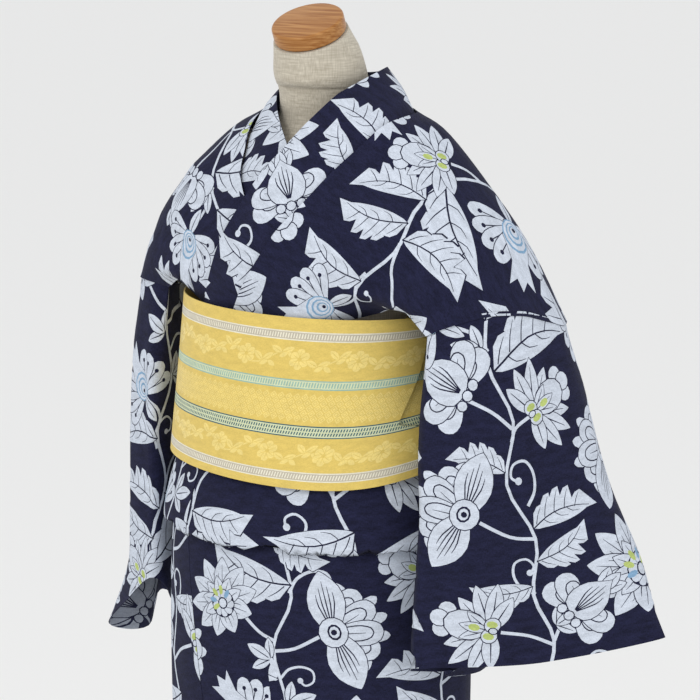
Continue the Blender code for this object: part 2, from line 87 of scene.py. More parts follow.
SKIRT_EDGES = (
    (1.000, -104, -42, 32, 94),
    (0.780, -86, -26, 27, 88),
    (0.730, -81, -22, 26, 87),
    (0.500, -74, -14, 24, 85),
    (0.075, -70, -10, 22, 82),
)

OBI_SECTIONS = (
    (1.137, 0.1345, -0.1055, 0.1045),
    (1.090, 0.1385, -0.1090, 0.1070),
    (1.050, 0.1430, -0.1115, 0.1110),
    (1.010, 0.1480, -0.1150, 0.1180),
    (0.960, 0.1540, -0.1190, 0.1260),
)

OBI_FRONT_END = ((0.0, 86.0), (0.10, 82.0), (0.34, 74.5), (0.58, 63.0), (0.68, 59.5), (0.85, 58.5),
                 (1.0, 58.0))

COLLAR_STATIONS = (
    ((0.0660, -0.0790, 1.160), (0.0680, -0.0735, 1.119)),
    ((0.0420, -0.0810, 1.205), (0.0150, -0.0845, 1.162)),
    ((0.0220, -0.0710, 1.248), (-0.0180, -0.0800, 1.210)),
    ((0.0040, -0.0545, 1.281), (-0.0440, -0.0620, 1.247)),
    ((-0.0185, -0.0330, 1.302), (-0.0540, -0.0380, 1.272)),
    ((-0.0410, -0.0040, 1.320), (-0.0620, -0.0140, 1.291)),
    ((-0.0500, 0.0200, 1.331), (-0.0690, 0.0180, 1.302)),
    ((-0.0500, 0.0500, 1.338), (-0.0760, 0.0560, 1.305)),
    ((-0.0300, 0.0760, 1.341), (-0.0460, 0.0880, 1.303)),
    ((0.0000, 0.0860, 1.341), (0.0000, 0.0980, 1.302)),
    ((0.0310, 0.0740, 1.345), (0.0480, 0.0860, 1.306)),
    ((0.0520, 0.0470, 1.352), (0.0790, 0.0520, 1.307)),
    ((0.0600, 0.0150, 1.350), (0.0980, 0.0180, 1.308)),
    ((0.0500, -0.0245, 1.337), (0.0960, -0.0300, 1.302)),
    ((0.0420, -0.0355, 1.329), (0.0830, -0.0510, 1.284)),
    ((0.0240, -0.0560, 1.305), (0.0640, -0.0760, 1.258)),
    ((0.0080, -0.0690, 1.283), (0.0450, -0.0940, 1.231)),
    ((-0.0080, -0.0800, 1.262), (0.0270, -0.1070, 1.208)),
    ((-0.0240, -0.0890, 1.235), (0.0090, -0.1090, 1.182)),
    ((-0.0460, -0.0950, 1.197), (-0.0110, -0.1060, 1.153)),
    ((-0.0640, -0.0900, 1.155), (-0.0290, -0.0950, 1.126)),
    ((-0.0780, -0.0790, 1.116), (-0.0400, -0.0950, 1.103)),
)

LEFT_BODICE = (
    (21, (0.0450, -0.0925, 1.1180), (0.1010, -0.0580, 1.1320), (0.1400, -0.0780, 1.1440),
     (0.1730, -0.0860, 1.1220)),
    (20, (0.0550, -0.0975, 1.1390), (0.1080, -0.0780, 1.1460), (0.1520, -0.0900, 1.1440),
     (0.1880, -0.0850, 1.1290)),
    (19, (0.0620, -0.1030, 1.1580), (0.1160, -0.0920, 1.1560), (0.1640, -0.0920, 1.1520),
     (0.2060, -0.0780, 1.1360)),
    (18, (0.0720, -0.1060, 1.1820), (0.1240, -0.0940, 1.1750), (0.1740, -0.0870, 1.1640),
     (0.2190, -0.0670, 1.1400)),
    (17, (0.0800, -0.1010, 1.2020), (0.1320, -0.0900, 1.1920), (0.1820, -0.0790, 1.1750),
     (0.2290, -0.0540, 1.1410)),
    (16, (0.0900, -0.0930, 1.2210), (0.1390, -0.0820, 1.2080), (0.1890, -0.0690, 1.1850),
     (0.2370, -0.0400, 1.1400)),
    (15, (0.1000, -0.0780, 1.2430), (0.1470, -0.0700, 1.2230), (0.1960, -0.0570, 1.1920),
     (0.2440, -0.0250, 1.1380)),
    (14, (0.1110, -0.0550, 1.2660), (0.1560, -0.0510, 1.2370), (0.2040, -0.0410, 1.1960),
     (0.2500, -0.0090, 1.1330)),
    (13, (0.1220, -0.0300, 1.2860), (0.1650, -0.0280, 1.2480), (0.2110, -0.0210, 1.1980),
     (0.2545, 0.0070, 1.1280)),
    (12, (0.1280, 0.0200, 1.2965), (0.1720, 0.0210, 1.2520), (0.2160, 0.0210, 1.1980),
     (0.2570, 0.0250, 1.1230)),
    (11, (0.1130, 0.0590, 1.2890), (0.1560, 0.0640, 1.2400), (0.1980, 0.0700, 1.1840),
     (0.2330, 0.0760, 1.1180)),
    (10, (0.0920, 0.0950, 1.2740), (0.1350, 0.1010, 1.2290), (0.1740, 0.1060, 1.1750),
     (0.2060, 0.1100, 1.1130)),
    (9, (0.0600, 0.1070, 1.2540), (0.1140, 0.1130, 1.2060), (0.1540, 0.1180, 1.1600),
     (0.1860, 0.1240, 1.1090)),
    ((0.0008, 0.1080, 1.2300), (0.0580, 0.1060, 1.1950), (0.1100, 0.1000, 1.1720), (0.1440, 0.1120, 1.1420),
     (0.1730, 0.1220, 1.1080)),
    ((0.0008, 0.0960, 1.1200), (0.0560, 0.0870, 1.1200), (0.0970, 0.0560, 1.1340), (0.1330, 0.0800, 1.1470),
     (0.1660, 0.1060, 1.1100)),
)

RIGHT_BODICE = (
    (0, (-0.0300, -0.0915, 1.1190), (-0.0900, -0.0640, 1.1300), (-0.1220, -0.0500, 1.1450),
     (-0.1480, -0.0340, 1.1330)),
    (1, (-0.0420, -0.0905, 1.1500), (-0.0990, -0.0720, 1.1500), (-0.1340, -0.0530, 1.1510),
     (-0.1640, -0.0340, 1.1360)),
    (2, (-0.0560, -0.0830, 1.1900), (-0.1060, -0.0700, 1.1830), (-0.1450, -0.0500, 1.1660),
     (-0.1790, -0.0290, 1.1370)),
    (3, (-0.0760, -0.0680, 1.2220), (-0.1160, -0.0620, 1.2080), (-0.1560, -0.0440, 1.1780),
     (-0.1910, -0.0200, 1.1370)),
    (4, (-0.0860, -0.0480, 1.2510), (-0.1240, -0.0480, 1.2260), (-0.1640, -0.0350, 1.1880),
     (-0.2000, -0.0080, 1.1350)),
    (5, (-0.0930, -0.0220, 1.2760), (-0.1310, -0.0250, 1.2430), (-0.1720, -0.0180, 1.1950),
     (-0.2080, 0.0080, 1.1310)),
    (6, (-0.1030, 0.0190, 1.2900), (-0.1420, 0.0210, 1.2560), (-0.1870, 0.0240, 1.2020),
     (-0.2200, 0.0290, 1.1240)),
    (7, (-0.1060, 0.0600, 1.2870), (-0.1480, 0.0650, 1.2460), (-0.1900, 0.0700, 1.1900),
     (-0.2190, 0.0760, 1.1170)),
    (8, (-0.0890, 0.0970, 1.2720), (-0.1340, 0.1020, 1.2300), (-0.1730, 0.1060, 1.1770),
     (-0.2030, 0.1110, 1.1130)),
    (9, (-0.0600, 0.1070, 1.2540), (-0.1140, 0.1130, 1.2060), (-0.1540, 0.1180, 1.1600),
     (-0.1860, 0.1240, 1.1090)),
    ((-0.0008, 0.1080, 1.2300), (-0.0580, 0.1060, 1.1950), (-0.1100, 0.1000, 1.1720),
     (-0.1440, 0.1120, 1.1420), (-0.1730, 0.1220, 1.1080)),
    ((-0.0008, 0.0960, 1.1200), (-0.0560, 0.0870, 1.1200), (-0.0970, 0.0560, 1.1340),
     (-0.1330, 0.0800, 1.1470), (-0.1660, 0.1060, 1.1100)),
)

LEFT_SLEEVE = (
    ((0.2580, 0.0250, 1.1215), (0.2330, -0.0520, 1.1390), (0.1735, -0.0868, 1.1205),
     (0.1600, -0.0200, 1.1190), (0.1620, 0.0650, 1.1120), (0.1680, 0.1045, 1.1085),
     (0.1880, 0.1245, 1.1070), (0.2340, 0.0790, 1.1160)),
    ((0.2760, 0.0260, 1.0500), (0.2380, -0.0560, 1.0560), (0.1720, -0.0880, 1.0400),
     (0.1620, -0.0200, 1.0350), (0.1640, 0.0700, 1.0300), (0.1760, 0.1120, 1.0250),
     (0.2000, 0.1180, 1.0350), (0.2430, 0.0850, 1.0440)),
    ((0.2960, 0.0330, 0.9700), (0.2450, -0.0500, 0.9700), (0.1710, -0.0890, 0.9600),
     (0.1650, -0.0200, 0.9500), (0.1680, 0.0700, 0.9400), (0.1820, 0.1120, 0.9350),
     (0.2020, 0.0800, 0.9450), (0.2620, 0.0900, 0.9600)),
    ((0.3280, 0.0450, 0.8920), (0.2540, -0.0380, 0.8860), (0.1660, -0.0890, 0.8820),
     (0.1660, -0.0200, 0.8700), (0.1680, 0.0760, 0.8600), (0.1800, 0.0860, 0.8600),
     (0.1860, 0.0000, 0.8760), (0.2860, 0.0800, 0.8850)),
    ((0.3520, 0.0560, 0.8290), (0.2600, -0.0240, 0.8100), (0.1600, -0.0880, 0.8040),
     (0.1665, -0.0180, 0.7740), (0.1660, 0.0760, 0.7860), (0.1780, 0.0060, 0.7760),
     (0.1780, -0.0660, 0.8060), (0.2760, 0.0260, 0.8180)),
)

RIGHT_SLEEVE = (
    ((-0.2210, 0.0290, 1.1225), (-0.1980, -0.0120, 1.1340), (-0.1485, -0.0348, 1.1315),
     (-0.1560, 0.0200, 1.1260), (-0.1620, 0.0700, 1.1140), (-0.1680, 0.1045, 1.1085),
     (-0.1880, 0.1245, 1.1070), (-0.2200, 0.0780, 1.1150)),
    ((-0.2230, 0.0310, 1.0500), (-0.2020, -0.0160, 1.0650), (-0.1620, -0.0380, 1.0500),
     (-0.1600, 0.0200, 1.0450), (-0.1660, 0.0740, 1.0350), (-0.1800, 0.1120, 1.0250),
     (-0.2040, 0.1130, 1.0250), (-0.2250, 0.0880, 1.0350)),
    ((-0.2240, 0.0330, 0.9600), (-0.2040, -0.0180, 0.9800), (-0.1650, -0.0400, 0.9750),
     (-0.1650, 0.0200, 0.9550), (-0.1700, 0.0760, 0.9400), (-0.1860, 0.1120, 0.9300),
     (-0.2040, 0.0880, 0.9350), (-0.2280, 0.0900, 0.9450)),
    ((-0.2320, 0.0350, 0.8550), (-0.2080, -0.0160, 0.8830), (-0.1650, -0.0400, 0.9060),
     (-0.1670, 0.0200, 0.8600), (-0.1730, 0.0800, 0.8450), (-0.1840, 0.0880, 0.8400),
     (-0.1900, 0.0300, 0.8480), (-0.2360, 0.0820, 0.8460)),
    ((-0.2780, 0.0380, 0.7560), (-0.2200, -0.0080, 0.8020), (-0.1650, -0.0380, 0.8380),
     (-0.1660, 0.0240, 0.7820), (-0.1700, 0.0860, 0.7780), (-0.1770, 0.0280, 0.7860),
     (-0.1770, -0.0180, 0.8330), (-0.2400, 0.0560, 0.7560)),
)

BOW_WING = (
    (0.0210, 0.1370, 0.026, 0.000),
    (0.0450, 0.1290, 0.046, 0.002),
    (0.0800, 0.1250, 0.066, 0.006),
    (0.1120, 0.1280, 0.076, 0.012),
    (0.1270, 0.1440, 0.079, 0.015),
    (0.1120, 0.1620, 0.076, 0.012),
    (0.0800, 0.1680, 0.066, 0.006),
    (0.0450, 0.1640, 0.046, 0.002),
    (0.0210, 0.1520, 0.026, 0.000),
)

print("stations of the left sleeve:", len(LEFT_SLEEVE))

# %% [markdown]
# ## Fair curves and surfaces
#
# A smooth curve goes through every given point. Two of them, one across and one along, make a sheet.

# %% Surfaces
def spline(points, pieces, closed=False):
    """Points of a smooth curve through the given ones, with as many pieces between each two."""
    points = np.asarray(points, float)
    count = len(points)
    if closed:
        before, after = np.roll(points, 1, axis=0), np.roll(points, -1, axis=0)
        after_next = np.roll(points, -2, axis=0)
        spans = count
    else:
        before = np.vstack([2 * points[:1] - points[1:2], points[:-1]])
        after = np.vstack([points[1:], 2 * points[-1:] - points[-2:-1]])
        after_next = np.vstack([after[1:], after[-1:]])
        spans = count - 1
    curve = []
    for i in range(spans):
        slope_here = (after[i] - before[i]) / 2
        slope_next = (after_next[i] - points[i]) / 2
        for k in range(pieces):
            t = k / pieces
            curve.append(
                (2 * t**3 - 3 * t**2 + 1) * points[i]
                + (t**3 - 2 * t**2 + t) * slope_here
                + (3 * t**2 - 2 * t**3) * after[i]
                + (t**3 - t**2) * slope_next
            )
    if not closed:
        curve.append(points[-1])
    return np.array(curve)


def net(rows, across, along, closed=False):
    """A grid through a table of points: rows are stations, columns are named points."""
    lines = [spline(row, across, closed) for row in rows]
    return spline(np.array(lines), along)


FINE_FORM = spline(np.array(FORM_SECTIONS), 4)
FINE_SKIRT = spline(np.array(SKIRT_SECTIONS), 5)
FINE_OBI = spline(np.array(OBI_SECTIONS), 5)


def around(table, angle, height, out=0.0):
    """A point at an angle from the front towards the wearer's left, moved out of the section."""
    heights = table[::-1, 0]
    half_width, front, back = [float(np.interp(height, heights, table[::-1, k])) for k in (1, 2, 3)]
    half_depth, middle = (back - front) / 2, (back + front) / 2
    turn = math.radians(angle)
    point = np.array([half_width * math.sin(turn), -half_depth * math.cos(turn)])
    normal = np.array([math.sin(turn) / half_width, -math.cos(turn) / half_depth])
    point = point + out * normal / np.linalg.norm(normal)
    return np.array([point[0], middle + point[1], height])


def grid_normals(grid):
    along = np.gradient(grid, axis=0)
    across = np.gradient(grid, axis=1)
    normal = np.cross(across, along)
    return normal / np.maximum(np.linalg.norm(normal, axis=2, keepdims=True), 1e-9)


def resample(grid, step):
    """The same sheet with rows and columns about one step apart."""
    for axis in (0, 1):
        lengths = np.linalg.norm(np.diff(grid, axis=axis), axis=2).mean(axis=1 - axis)
        place = np.concatenate([[0], np.cumsum(lengths)])
        count = max(4, int(round(place[-1] / step)))
        wanted = np.linspace(0, place[-1], count + 1)
        k = np.clip(np.searchsorted(place, wanted, "right") - 1, 0, len(place) - 2)
        share = (wanted - place[k]) / (place[k + 1] - place[k])
        shape = [1, 1, 1]
        shape[axis] = -1
        share = share.reshape(shape)
        grid = np.take(grid, k, axis) * (1 - share) + np.take(grid, k + 1, axis) * share
    return grid


print("sections of the form:", len(FINE_FORM))

# %% [markdown]
# ## Laying a worn sheet flat
#
# The print has its own scale, so it has to be drawn on flat cloth. The sheet is laid flat by pulling a net of
# threads back to the lengths that they have when worn, first a coarse net and then the fine one.

# %% Flatten
COARSE_NET = 17
FIRST_PULLS, LAST_PULLS = 600, 60
LEAST_CELL = 0.15


def crossed(a, b):
    """Twice the signed area of the triangle between each vector of a and the same one of b."""
    return a[..., 0] * b[..., 1] - b[..., 0] * a[..., 1]


def pull(flat, worn, rounds):
    """Moves the flat places until neighbours are as far apart as they are when worn."""
    pairs = []
    for di, dj in ((0, 1), (1, 0), (1, 1), (1, -1)):
        a = (slice(0, -di or None), slice(-dj if dj < 0 else 0, None if dj <= 0 else -dj))
        b = (slice(di, None), slice(max(dj, 0), dj if dj < 0 else None))
        pairs.append((a, b, np.linalg.norm(worn[a] - worn[b], axis=2)))
    for _ in range(rounds):
        move = np.zeros_like(flat)
        weight = np.zeros(flat.shape[:2] + (1,))
        for a, b, length in pairs:
            gap = flat[b] - flat[a]
            now = np.linalg.norm(gap, axis=2)
            step = (0.5 * (now - length) / np.maximum(now, 1e-9))[..., None] * gap
            move[a] += step
            move[b] -= step
            weight[a] += 1
            weight[b] += 1
        flat = flat + 1.2 * move / weight
    return flat


def flatten(worn):
    """Flat places, in metres, of a worn sheet's points."""
    rows = np.linspace(0, worn.shape[0] - 1, min(worn.shape[0], COARSE_NET)).round().astype(int)
    cols = np.linspace(0, worn.shape[1] - 1, min(worn.shape[1], COARSE_NET)).round().astype(int)
    coarse = worn[np.ix_(rows, cols)]
    wide = np.linalg.norm(np.diff(coarse, axis=1), axis=2).sum(axis=1).mean()
    long = np.linalg.norm(np.diff(coarse, axis=0), axis=2).sum(axis=0).mean()
    across, along = np.meshgrid(cols / cols[-1] * wide, -rows / rows[-1] * long)
    flat = pull(np.dstack([across, along]), coarse, FIRST_PULLS)
    for axis, picked, size in ((0, rows, worn.shape[0]), (1, cols, worn.shape[1])):
        k = np.clip(np.searchsorted(picked, np.arange(size), "right") - 1, 0, len(picked) - 2)
        share = (np.arange(size) - picked[k]) / (picked[k + 1] - picked[k])
        share = share.reshape([-1, 1, 1] if axis == 0 else [1, -1, 1])
        flat = np.take(flat, k, axis) * (1 - share) + np.take(flat, k + 1, axis) * share
    return unfolded(pull(flat, worn, LAST_PULLS))


def unfolded(flat, rounds=200):
    """The same layout with any cell that folded over, as at a sharp corner of the edge, opened out again."""
    for _ in range(rounds):
        down, right = np.diff(flat, axis=0), np.diff(flat, axis=1)
        corners = [(r, d) for r in (right[:-1], right[1:]) for d in (down[:, :-1], down[:, 1:])]
        turns = [crossed(r, d) for r, d in corners]
        facing = np.min(np.array(turns) * np.sign(np.median(turns[0])), axis=0)
        tight = np.pad(facing < LEAST_CELL * np.median(np.abs(turns[0])), 2)
        if not tight.any():
            break
        near = tight[:-3, :-3] | tight[:-3, 1:-2] | tight[:-3, 2:-1] | tight[:-3, 3:]
        for k in (1, 2, 3):
            end = tight.shape[0] - 3 + k
            near |= tight[k:end, :-3] | tight[k:end, 1:-2] | tight[k:end, 2:-1] | tight[k:end, 3:]
        mean = flat.copy()
        mean[1:-1, 1:-1] = (flat[:-2, 1:-1] + flat[2:, 1:-1] + flat[1:-1, :-2] + flat[1:-1, 2:]) / 4
        mean[1:-1, [0, -1]] = (flat[:-2, [0, -1]] + flat[2:, [0, -1]]) / 2
        mean[[0, -1], 1:-1] = (flat[[0, -1], :-2] + flat[[0, -1], 2:]) / 2
        flat = np.where(near[..., None], mean, flat)
    return flat


def ruled(worn, straight):
    """Flat places for a strip cut along its threads. Its straight end is its first or its last column.

    A gathered strip keeps its threads side by side where it narrows.
    """
    if straight == "gathered":
        across = np.concatenate([[0], np.cumsum(np.linalg.norm(np.diff(worn, axis=1), axis=2).mean(axis=0))])
        heights = np.linalg.norm(np.diff(worn, axis=0), axis=2)
        widest = heights[:, np.argmax(heights.sum(axis=0))]
        return np.dstack(np.meshgrid(across, -np.concatenate([[0], np.cumsum(widest)])))
    across = np.linalg.norm(np.diff(worn, axis=1), axis=2)
    across = np.hstack([np.zeros((len(worn), 1)), np.cumsum(across, axis=1)])
    if straight == "last":
        across = across - across[:, -1:] + across[:, -1].mean()
    end = worn[:, 0 if straight == "first" else -1]
    along = -np.concatenate([[0], np.cumsum(np.linalg.norm(np.diff(end, axis=0), axis=1))])
    return np.dstack([across, np.repeat(along[:, None], worn.shape[1], axis=1)])


print("flattening ready")

# %% [markdown]
# ## The print's motifs
#
# The cloth is dyed through a stencil, so the flowers are flat white shapes and every vein is a thin line of
# the navy ground left between them. Each motif is drawn about its own origin, growing up, as a list of inks
# and outlines. Later outlines lie over earlier ones.

# %% Motifs
def placed(shapes, x=0.0, y=0.0, angle=0.0, size=1.0, flip=True):
    turn = math.radians(angle)
    c, s = math.cos(turn), math.sin(turn)
    out = []
    for ink, points in shapes:
        p = np.array(points) * size
        if flip:
            p = p * (-1, 1)
        out.append((ink, np.column_stack([x + c * p[:, 0] - s * p[:, 1], y + s * p[:, 0] + c * p[:, 1]])))
    return out


def stroke(points, widths, ink="white", pieces=3):
    """A brush line as a chain of short four-sided dabs."""
    line = spline(points, pieces)
    wide = np.interp(np.linspace(0, 1, len(line)), np.linspace(0, 1, len(widths)), widths) / 2
    way = np.gradient(line, axis=0)
    side = np.column_stack([-way[:, 1], way[:, 0]]) / np.linalg.norm(way, axis=1)[:, None]
    left, right = line + side * wide[:, None], line - side * wide[:, None]
    return [(ink, np.array([right[i], right[i + 1], left[i + 1], left[i]])) for i in range(len(line) - 1)]


def disc(x, y, radius, ink="white", sides=10, tall=1.0):
    turn = np.arange(sides) * 2 * math.pi / sides
    return [(ink, np.column_stack([x + radius * np.cos(turn), y + radius * tall * np.sin(turn)]))]


POINTED = ((0.0, 0.0), (0.30, 0.16), (0.48, 0.44), (0.40, 0.72), (0.14, 0.93), (0.0, 1.0))
ROUNDED = ((0.0, 0.0), (0.24, 0.14), (0.46, 0.46), (0.50, 0.74), (0.32, 0.94), (0.0, 1.0))


def petal(long, wide, half=POINTED, veins=3, line=0.0009, gap=0.0008):
    """A petal with a dark edge round it and dark veins along it."""
    right = spline(half, 2 if long > 0.017 else 1) * (wide, long)
    shape = np.concatenate([right, right[-2:0:-1] * (-1, 1)])
    middle = np.array([0.0, long / 2])
    grow = 1 + gap / np.array([wide / 2, long / 2])
    shapes = [("navy", middle + (shape - middle) * grow), ("white", shape)]
    for k in range(veins):
        lean = 0.0 if veins == 1 else (k / (veins - 1) - 0.5) * 2
        reach = 0.84 - 0.20 * abs(lean)
        base, knee, tip = (0.03 * lean, 0.10), (0.21 * lean, 0.45), (0.22 * lean, reach)
        points = [(a * wide, b * long) for a, b in (base, knee, tip)]
        shapes += stroke(points, (line, line, line * 0.4), "navy", 2)
    return shapes


def leaf(long=0.076, wide=0.036, teeth=5):
    """One side of the midrib is smooth and narrow, the other is cut into forward teeth with curved veins."""
    bend = 0.12 * long
    rib = [(bend * math.sin(math.pi * t), long * t) for t in (0, 0.25, 0.5, 0.75, 1.0)]
    smooth = [(bend * math.sin(math.pi * t) - wide * 0.40 * math.sin(math.pi * min(1, t * 1.02)) ** 0.8,
               long * t)
              for t in (0.08, 0.25, 0.42, 0.60, 0.78, 0.92)]
    toothed = []
    veins = []
    for k in range(teeth):
        t = 0.04 + 0.84 * (k + 0.5) / teeth
        swell = wide * 0.70 * math.sin(math.pi * (0.16 + 0.76 * (k + 0.5) / teeth)) ** 0.7
        x = bend * math.sin(math.pi * t)
        toothed += [(x + 0.66 * swell, long * (t - 0.055)), (x + 0.95 * swell, long * (t + 0.03)),
                    (x + 0.98 * swell, long * (t + 0.125))]
        veins += stroke([(x, long * (t - 0.06)), (x + 0.45 * swell, long * (t + 0.005)),
                         (x + 0.84 * swell, long * (t + 0.09))],
                        (0.0010, 0.0009, 0.0004), "navy", 2)
    for k in range(3):
        t = 0.20 + 0.20 * k
        x = bend * math.sin(math.pi * t)
        veins += stroke([(x, long * t), (x - wide * 0.18, long * (t + 0.08)),
                         (x - wide * 0.24, long * (t + 0.20))],
                        (0.0009, 0.0008, 0.0003), "navy", 2)
    shape = np.array([(0.0, 0.0)] + toothed + [(-0.04 * long, long * 1.12)]
                     + spline(smooth, 2)[::-1].tolist())
    heart = np.array([0.1 * wide, 0.52 * long])
    return ([("navy", heart + (shape - heart) * (1.07, 1.03)), ("white", shape)] + veins
            + stroke(rib[:4] + [(0.0, 0.98 * long)], (0.0016, 0.0014, 0.0006), "navy", 2))


def sprig(size=1.0):
    """Three small leaflets on one stalk."""
    shapes = []
    for angle, long in ((58, 0.020), (-54, 0.021), (2, 0.026)):
        shapes += placed(petal(long, long * 0.46, veins=1), 0, 0.004, angle)
    return placed(shapes, size=size)


def tendril(size=1.0):
    """A stalk that curls in and ends in a bulb."""
    points = [(0.0, 0.0), (0.004, 0.014), (0.000, 0.028), (-0.010, 0.036), (-0.020, 0.031), (-0.020, 0.021),
              (-0.013, 0.018)]
    shapes = stroke(points, (0.0030, 0.0026, 0.0022, 0.0022), "white", 4)
    return placed(shapes + disc(-0.0125, 0.0188, 0.0033, sides=9), size=size)


def open_flower(radius=0.050):
    """A flower seen from the front: two rings of pointed petals round a heart with tinted drops."""
    shapes = []
    for k, angle in enumerate((0, 33, -33, 66, -66, 100, -100, 135, -135, 175)):
        long = radius * (1.0, 0.97, 0.95, 0.98, 0.96, 0.88, 0.90, 0.76, 0.74, 0.68)[k]
        shapes += placed(petal(long, radius * 0.46, veins=3), 0, 0, angle)
    for angle in (17, -17, 52, -52, 88, -88):
        shapes += placed(petal(radius * 0.56, radius * 0.27, veins=1), 0, 0, angle)
    shapes += disc(0, -0.02 * radius, 0.31 * radius, "navy", 14)
    for angle in range(0, 360, 40):
        shapes += placed(petal(radius * 0.29, radius * 0.17, ROUNDED, veins=0, gap=0.0006),
                         0, -0.02 * radius, angle)
    shapes += (disc(0, -0.02 * radius, 0.13 * radius, "navy", 10)
               + disc(0, -0.02 * radius, 0.10 * radius, "white", 9))
    for angle, ink, far in ((14, "green", 0.27), (-24, "green", 0.26), (52, "blue", 0.25),
                            (-64, "blue", 0.22), (92, "green", 0.20)):
        turn = math.radians(angle)
        x, y = -far * radius * math.sin(turn), far * radius * math.cos(turn)
        shapes += placed(disc(0, 0, 0.055 * radius, ink, 8, 1.9), x, y, angle)
    return shapes


def ringed(x, y, radius, tall=1.0, sides=12, gap=0.0009):
    """A white disc with a dark line round it."""
    return disc(x, y, radius + gap, "navy", sides, tall) + disc(x, y, radius, "white", sides, tall)


def side_flower(radius=0.050):
    """A flower seen from the side: leafy petals beside an oval heart, and round lobes beyond it."""
    shapes = (ringed(0.20 * radius, 0.88 * radius, 0.15 * radius)
              + ringed(-0.20 * radius, 0.88 * radius, 0.15 * radius))
    shapes += ringed(0, 0.97 * radius, 0.16 * radius)
    for angle, long in ((34, 0.86), (-34, 0.84), (58, 0.94), (-58, 0.96), (82, 0.92), (-82, 0.90),
                        (106, 0.74), (-106, 0.76)):
        shapes += placed(petal(radius * long, radius * 0.32, veins=1, line=0.0012), 0, 0.06 * radius, angle)
    shapes += ringed(0, 0.52 * radius, 0.29 * radius, 1.25)
    for angle in (30, -30, 0):
        shapes += placed(petal(radius * 0.52, radius * 0.19, veins=1), 0, 0.10 * radius, angle)
    shapes += (ringed(0.11 * radius, 0.06 * radius, 0.14 * radius)
               + ringed(-0.11 * radius, 0.06 * radius, 0.14 * radius))
    for x, y, ink in ((0.12, 0.07, "green"), (-0.12, 0.07, "green"), (0.0, 0.36, "green")):
        shapes += disc(x * radius, y * radius, 0.07 * radius, ink, 8, 1.5)
    return shapes + ringed(0, 0.02 * radius, 0.055 * radius, 1.3, 8)


def wing_flower(radius=0.050):
    """A flower seen from the side: two veined wings, a fan of nested round petals and a cap with an eye."""
    shapes = []
    for angle in (20, -20, 0):
        shapes += placed(petal(radius * 1.10, radius * 0.24, ROUNDED, veins=0), 0, 0, angle)
    for angle in (62, -62, 40, -40, 16, -16):
        shapes += placed(petal(radius * 0.94, radius * 0.44, ROUNDED, veins=0), 0, 0.04 * radius, angle)
        shapes += placed(petal(radius * 0.76, radius * 0.25, ROUNDED, veins=1, gap=0.0011),
                         0, 0.04 * radius, angle)
    for angle in (84, -84):
        shapes += placed(petal(radius * 1.12, radius * 0.66, veins=5, line=0.0011), 0, 0.14 * radius, angle)
    shapes += ringed(0, 0.14 * radius, 0.27 * radius, 0.9, 14)
    shapes += (disc(0, 0.16 * radius, 0.15 * radius, "navy", 10, 0.8)
               + disc(0, 0.16 * radius, 0.11 * radius, "white", 9, 0.8))
    return shapes + disc(0, 0.15 * radius, 0.055 * radius, "navy", 7)


def shell_blossom(radius=0.042):
    """Two scalloped fans with stamens, a forked body between them and blue rings at its root."""
    shapes = placed(petal(radius * 0.66, radius * 0.26, veins=1), 0, -0.08 * radius, 176)
    for angle in (104, -104, 80, -80, 57, -57, 35, -35):
        shapes += placed(petal(radius * 0.94, radius * 0.36, ROUNDED, veins=0, gap=0.0007), 0, 0, angle)
        tip = 0.70 * radius
        stamen = stroke([(0, 0.30 * radius), (0, 0.5 * radius), (0, tip)],
                        (0.0010, 0.0009, 0.0009), "navy", 1)
        shapes += placed(stamen + disc(0, tip, 0.050 * radius, "navy", 6), 0, 0, angle)
    half = ((0.18, -0.12), (0.30, 0.20), (0.19, 0.66), (0.31, 1.12), (0.12, 0.98), (0.0, 1.20))
    body = radius * np.array(list(half) + [(-x, y) for x, y in half[-2::-1]])
    shapes += [("navy", body * 1.04 + (0, -0.0006)), ("white", body)]
    for far, ink in ((0.36, "blue"), (0.32, "white"), (0.25, "blue"), (0.21, "white"), (0.15, "blue"),
                     (0.11, "white")):
        shapes += disc(0, (0.04 + 0.30 * far) * radius, far * radius * 0.82, ink, 12, 1.12)
    return shapes + disc(0, 0.04 * radius, 0.045 * radius, "navy", 7)


def fruit(radius=0.038):
    """A striped onion-shaped body between arched wings, with a small crown."""
    shapes = []
    for angle in (100, -100, 70, -70):
        wing = petal(radius * 0.95, radius * 0.52, ROUNDED, veins=0)
        shapes += placed(wing, 0, 0, angle)
        shapes += placed(petal(radius * 0.66, radius * 0.30, ROUNDED, veins=1, gap=0.001),
                         0, 0.1 * radius, angle)
    for angle in (26, -26, 0):
        shapes += placed(petal(radius * 0.62, radius * 0.30, veins=1), 0, 0.62 * radius, angle)
    body = petal(radius * 1.15, radius * 0.86,
                 ((0, 0), (0.36, 0.08), (0.50, 0.34), (0.40, 0.64), (0.14, 0.86), (0, 1.0)),
                 veins=5, line=0.0011)
    shapes += placed(body, 0, -0.15 * radius)
    for x in (-0.24, 0.0, 0.24):
        shapes += (disc(x * radius, -0.22 * radius, 0.13 * radius, "navy", 9)
                   + disc(x * radius, -0.22 * radius, 0.105 * radius, "white", 9))
    return shapes


print("outlines in an open flower:", len(open_flower()))

# %% [markdown]
# ## One repeat of the print
#
# A bolt of yukata cotton is about 37 cm wide, and its stencil repeats along it. One repeat has two vines that
# climb side by side, each joined to itself at the top, with a flower, leaf, sprig or tendril at every joint.

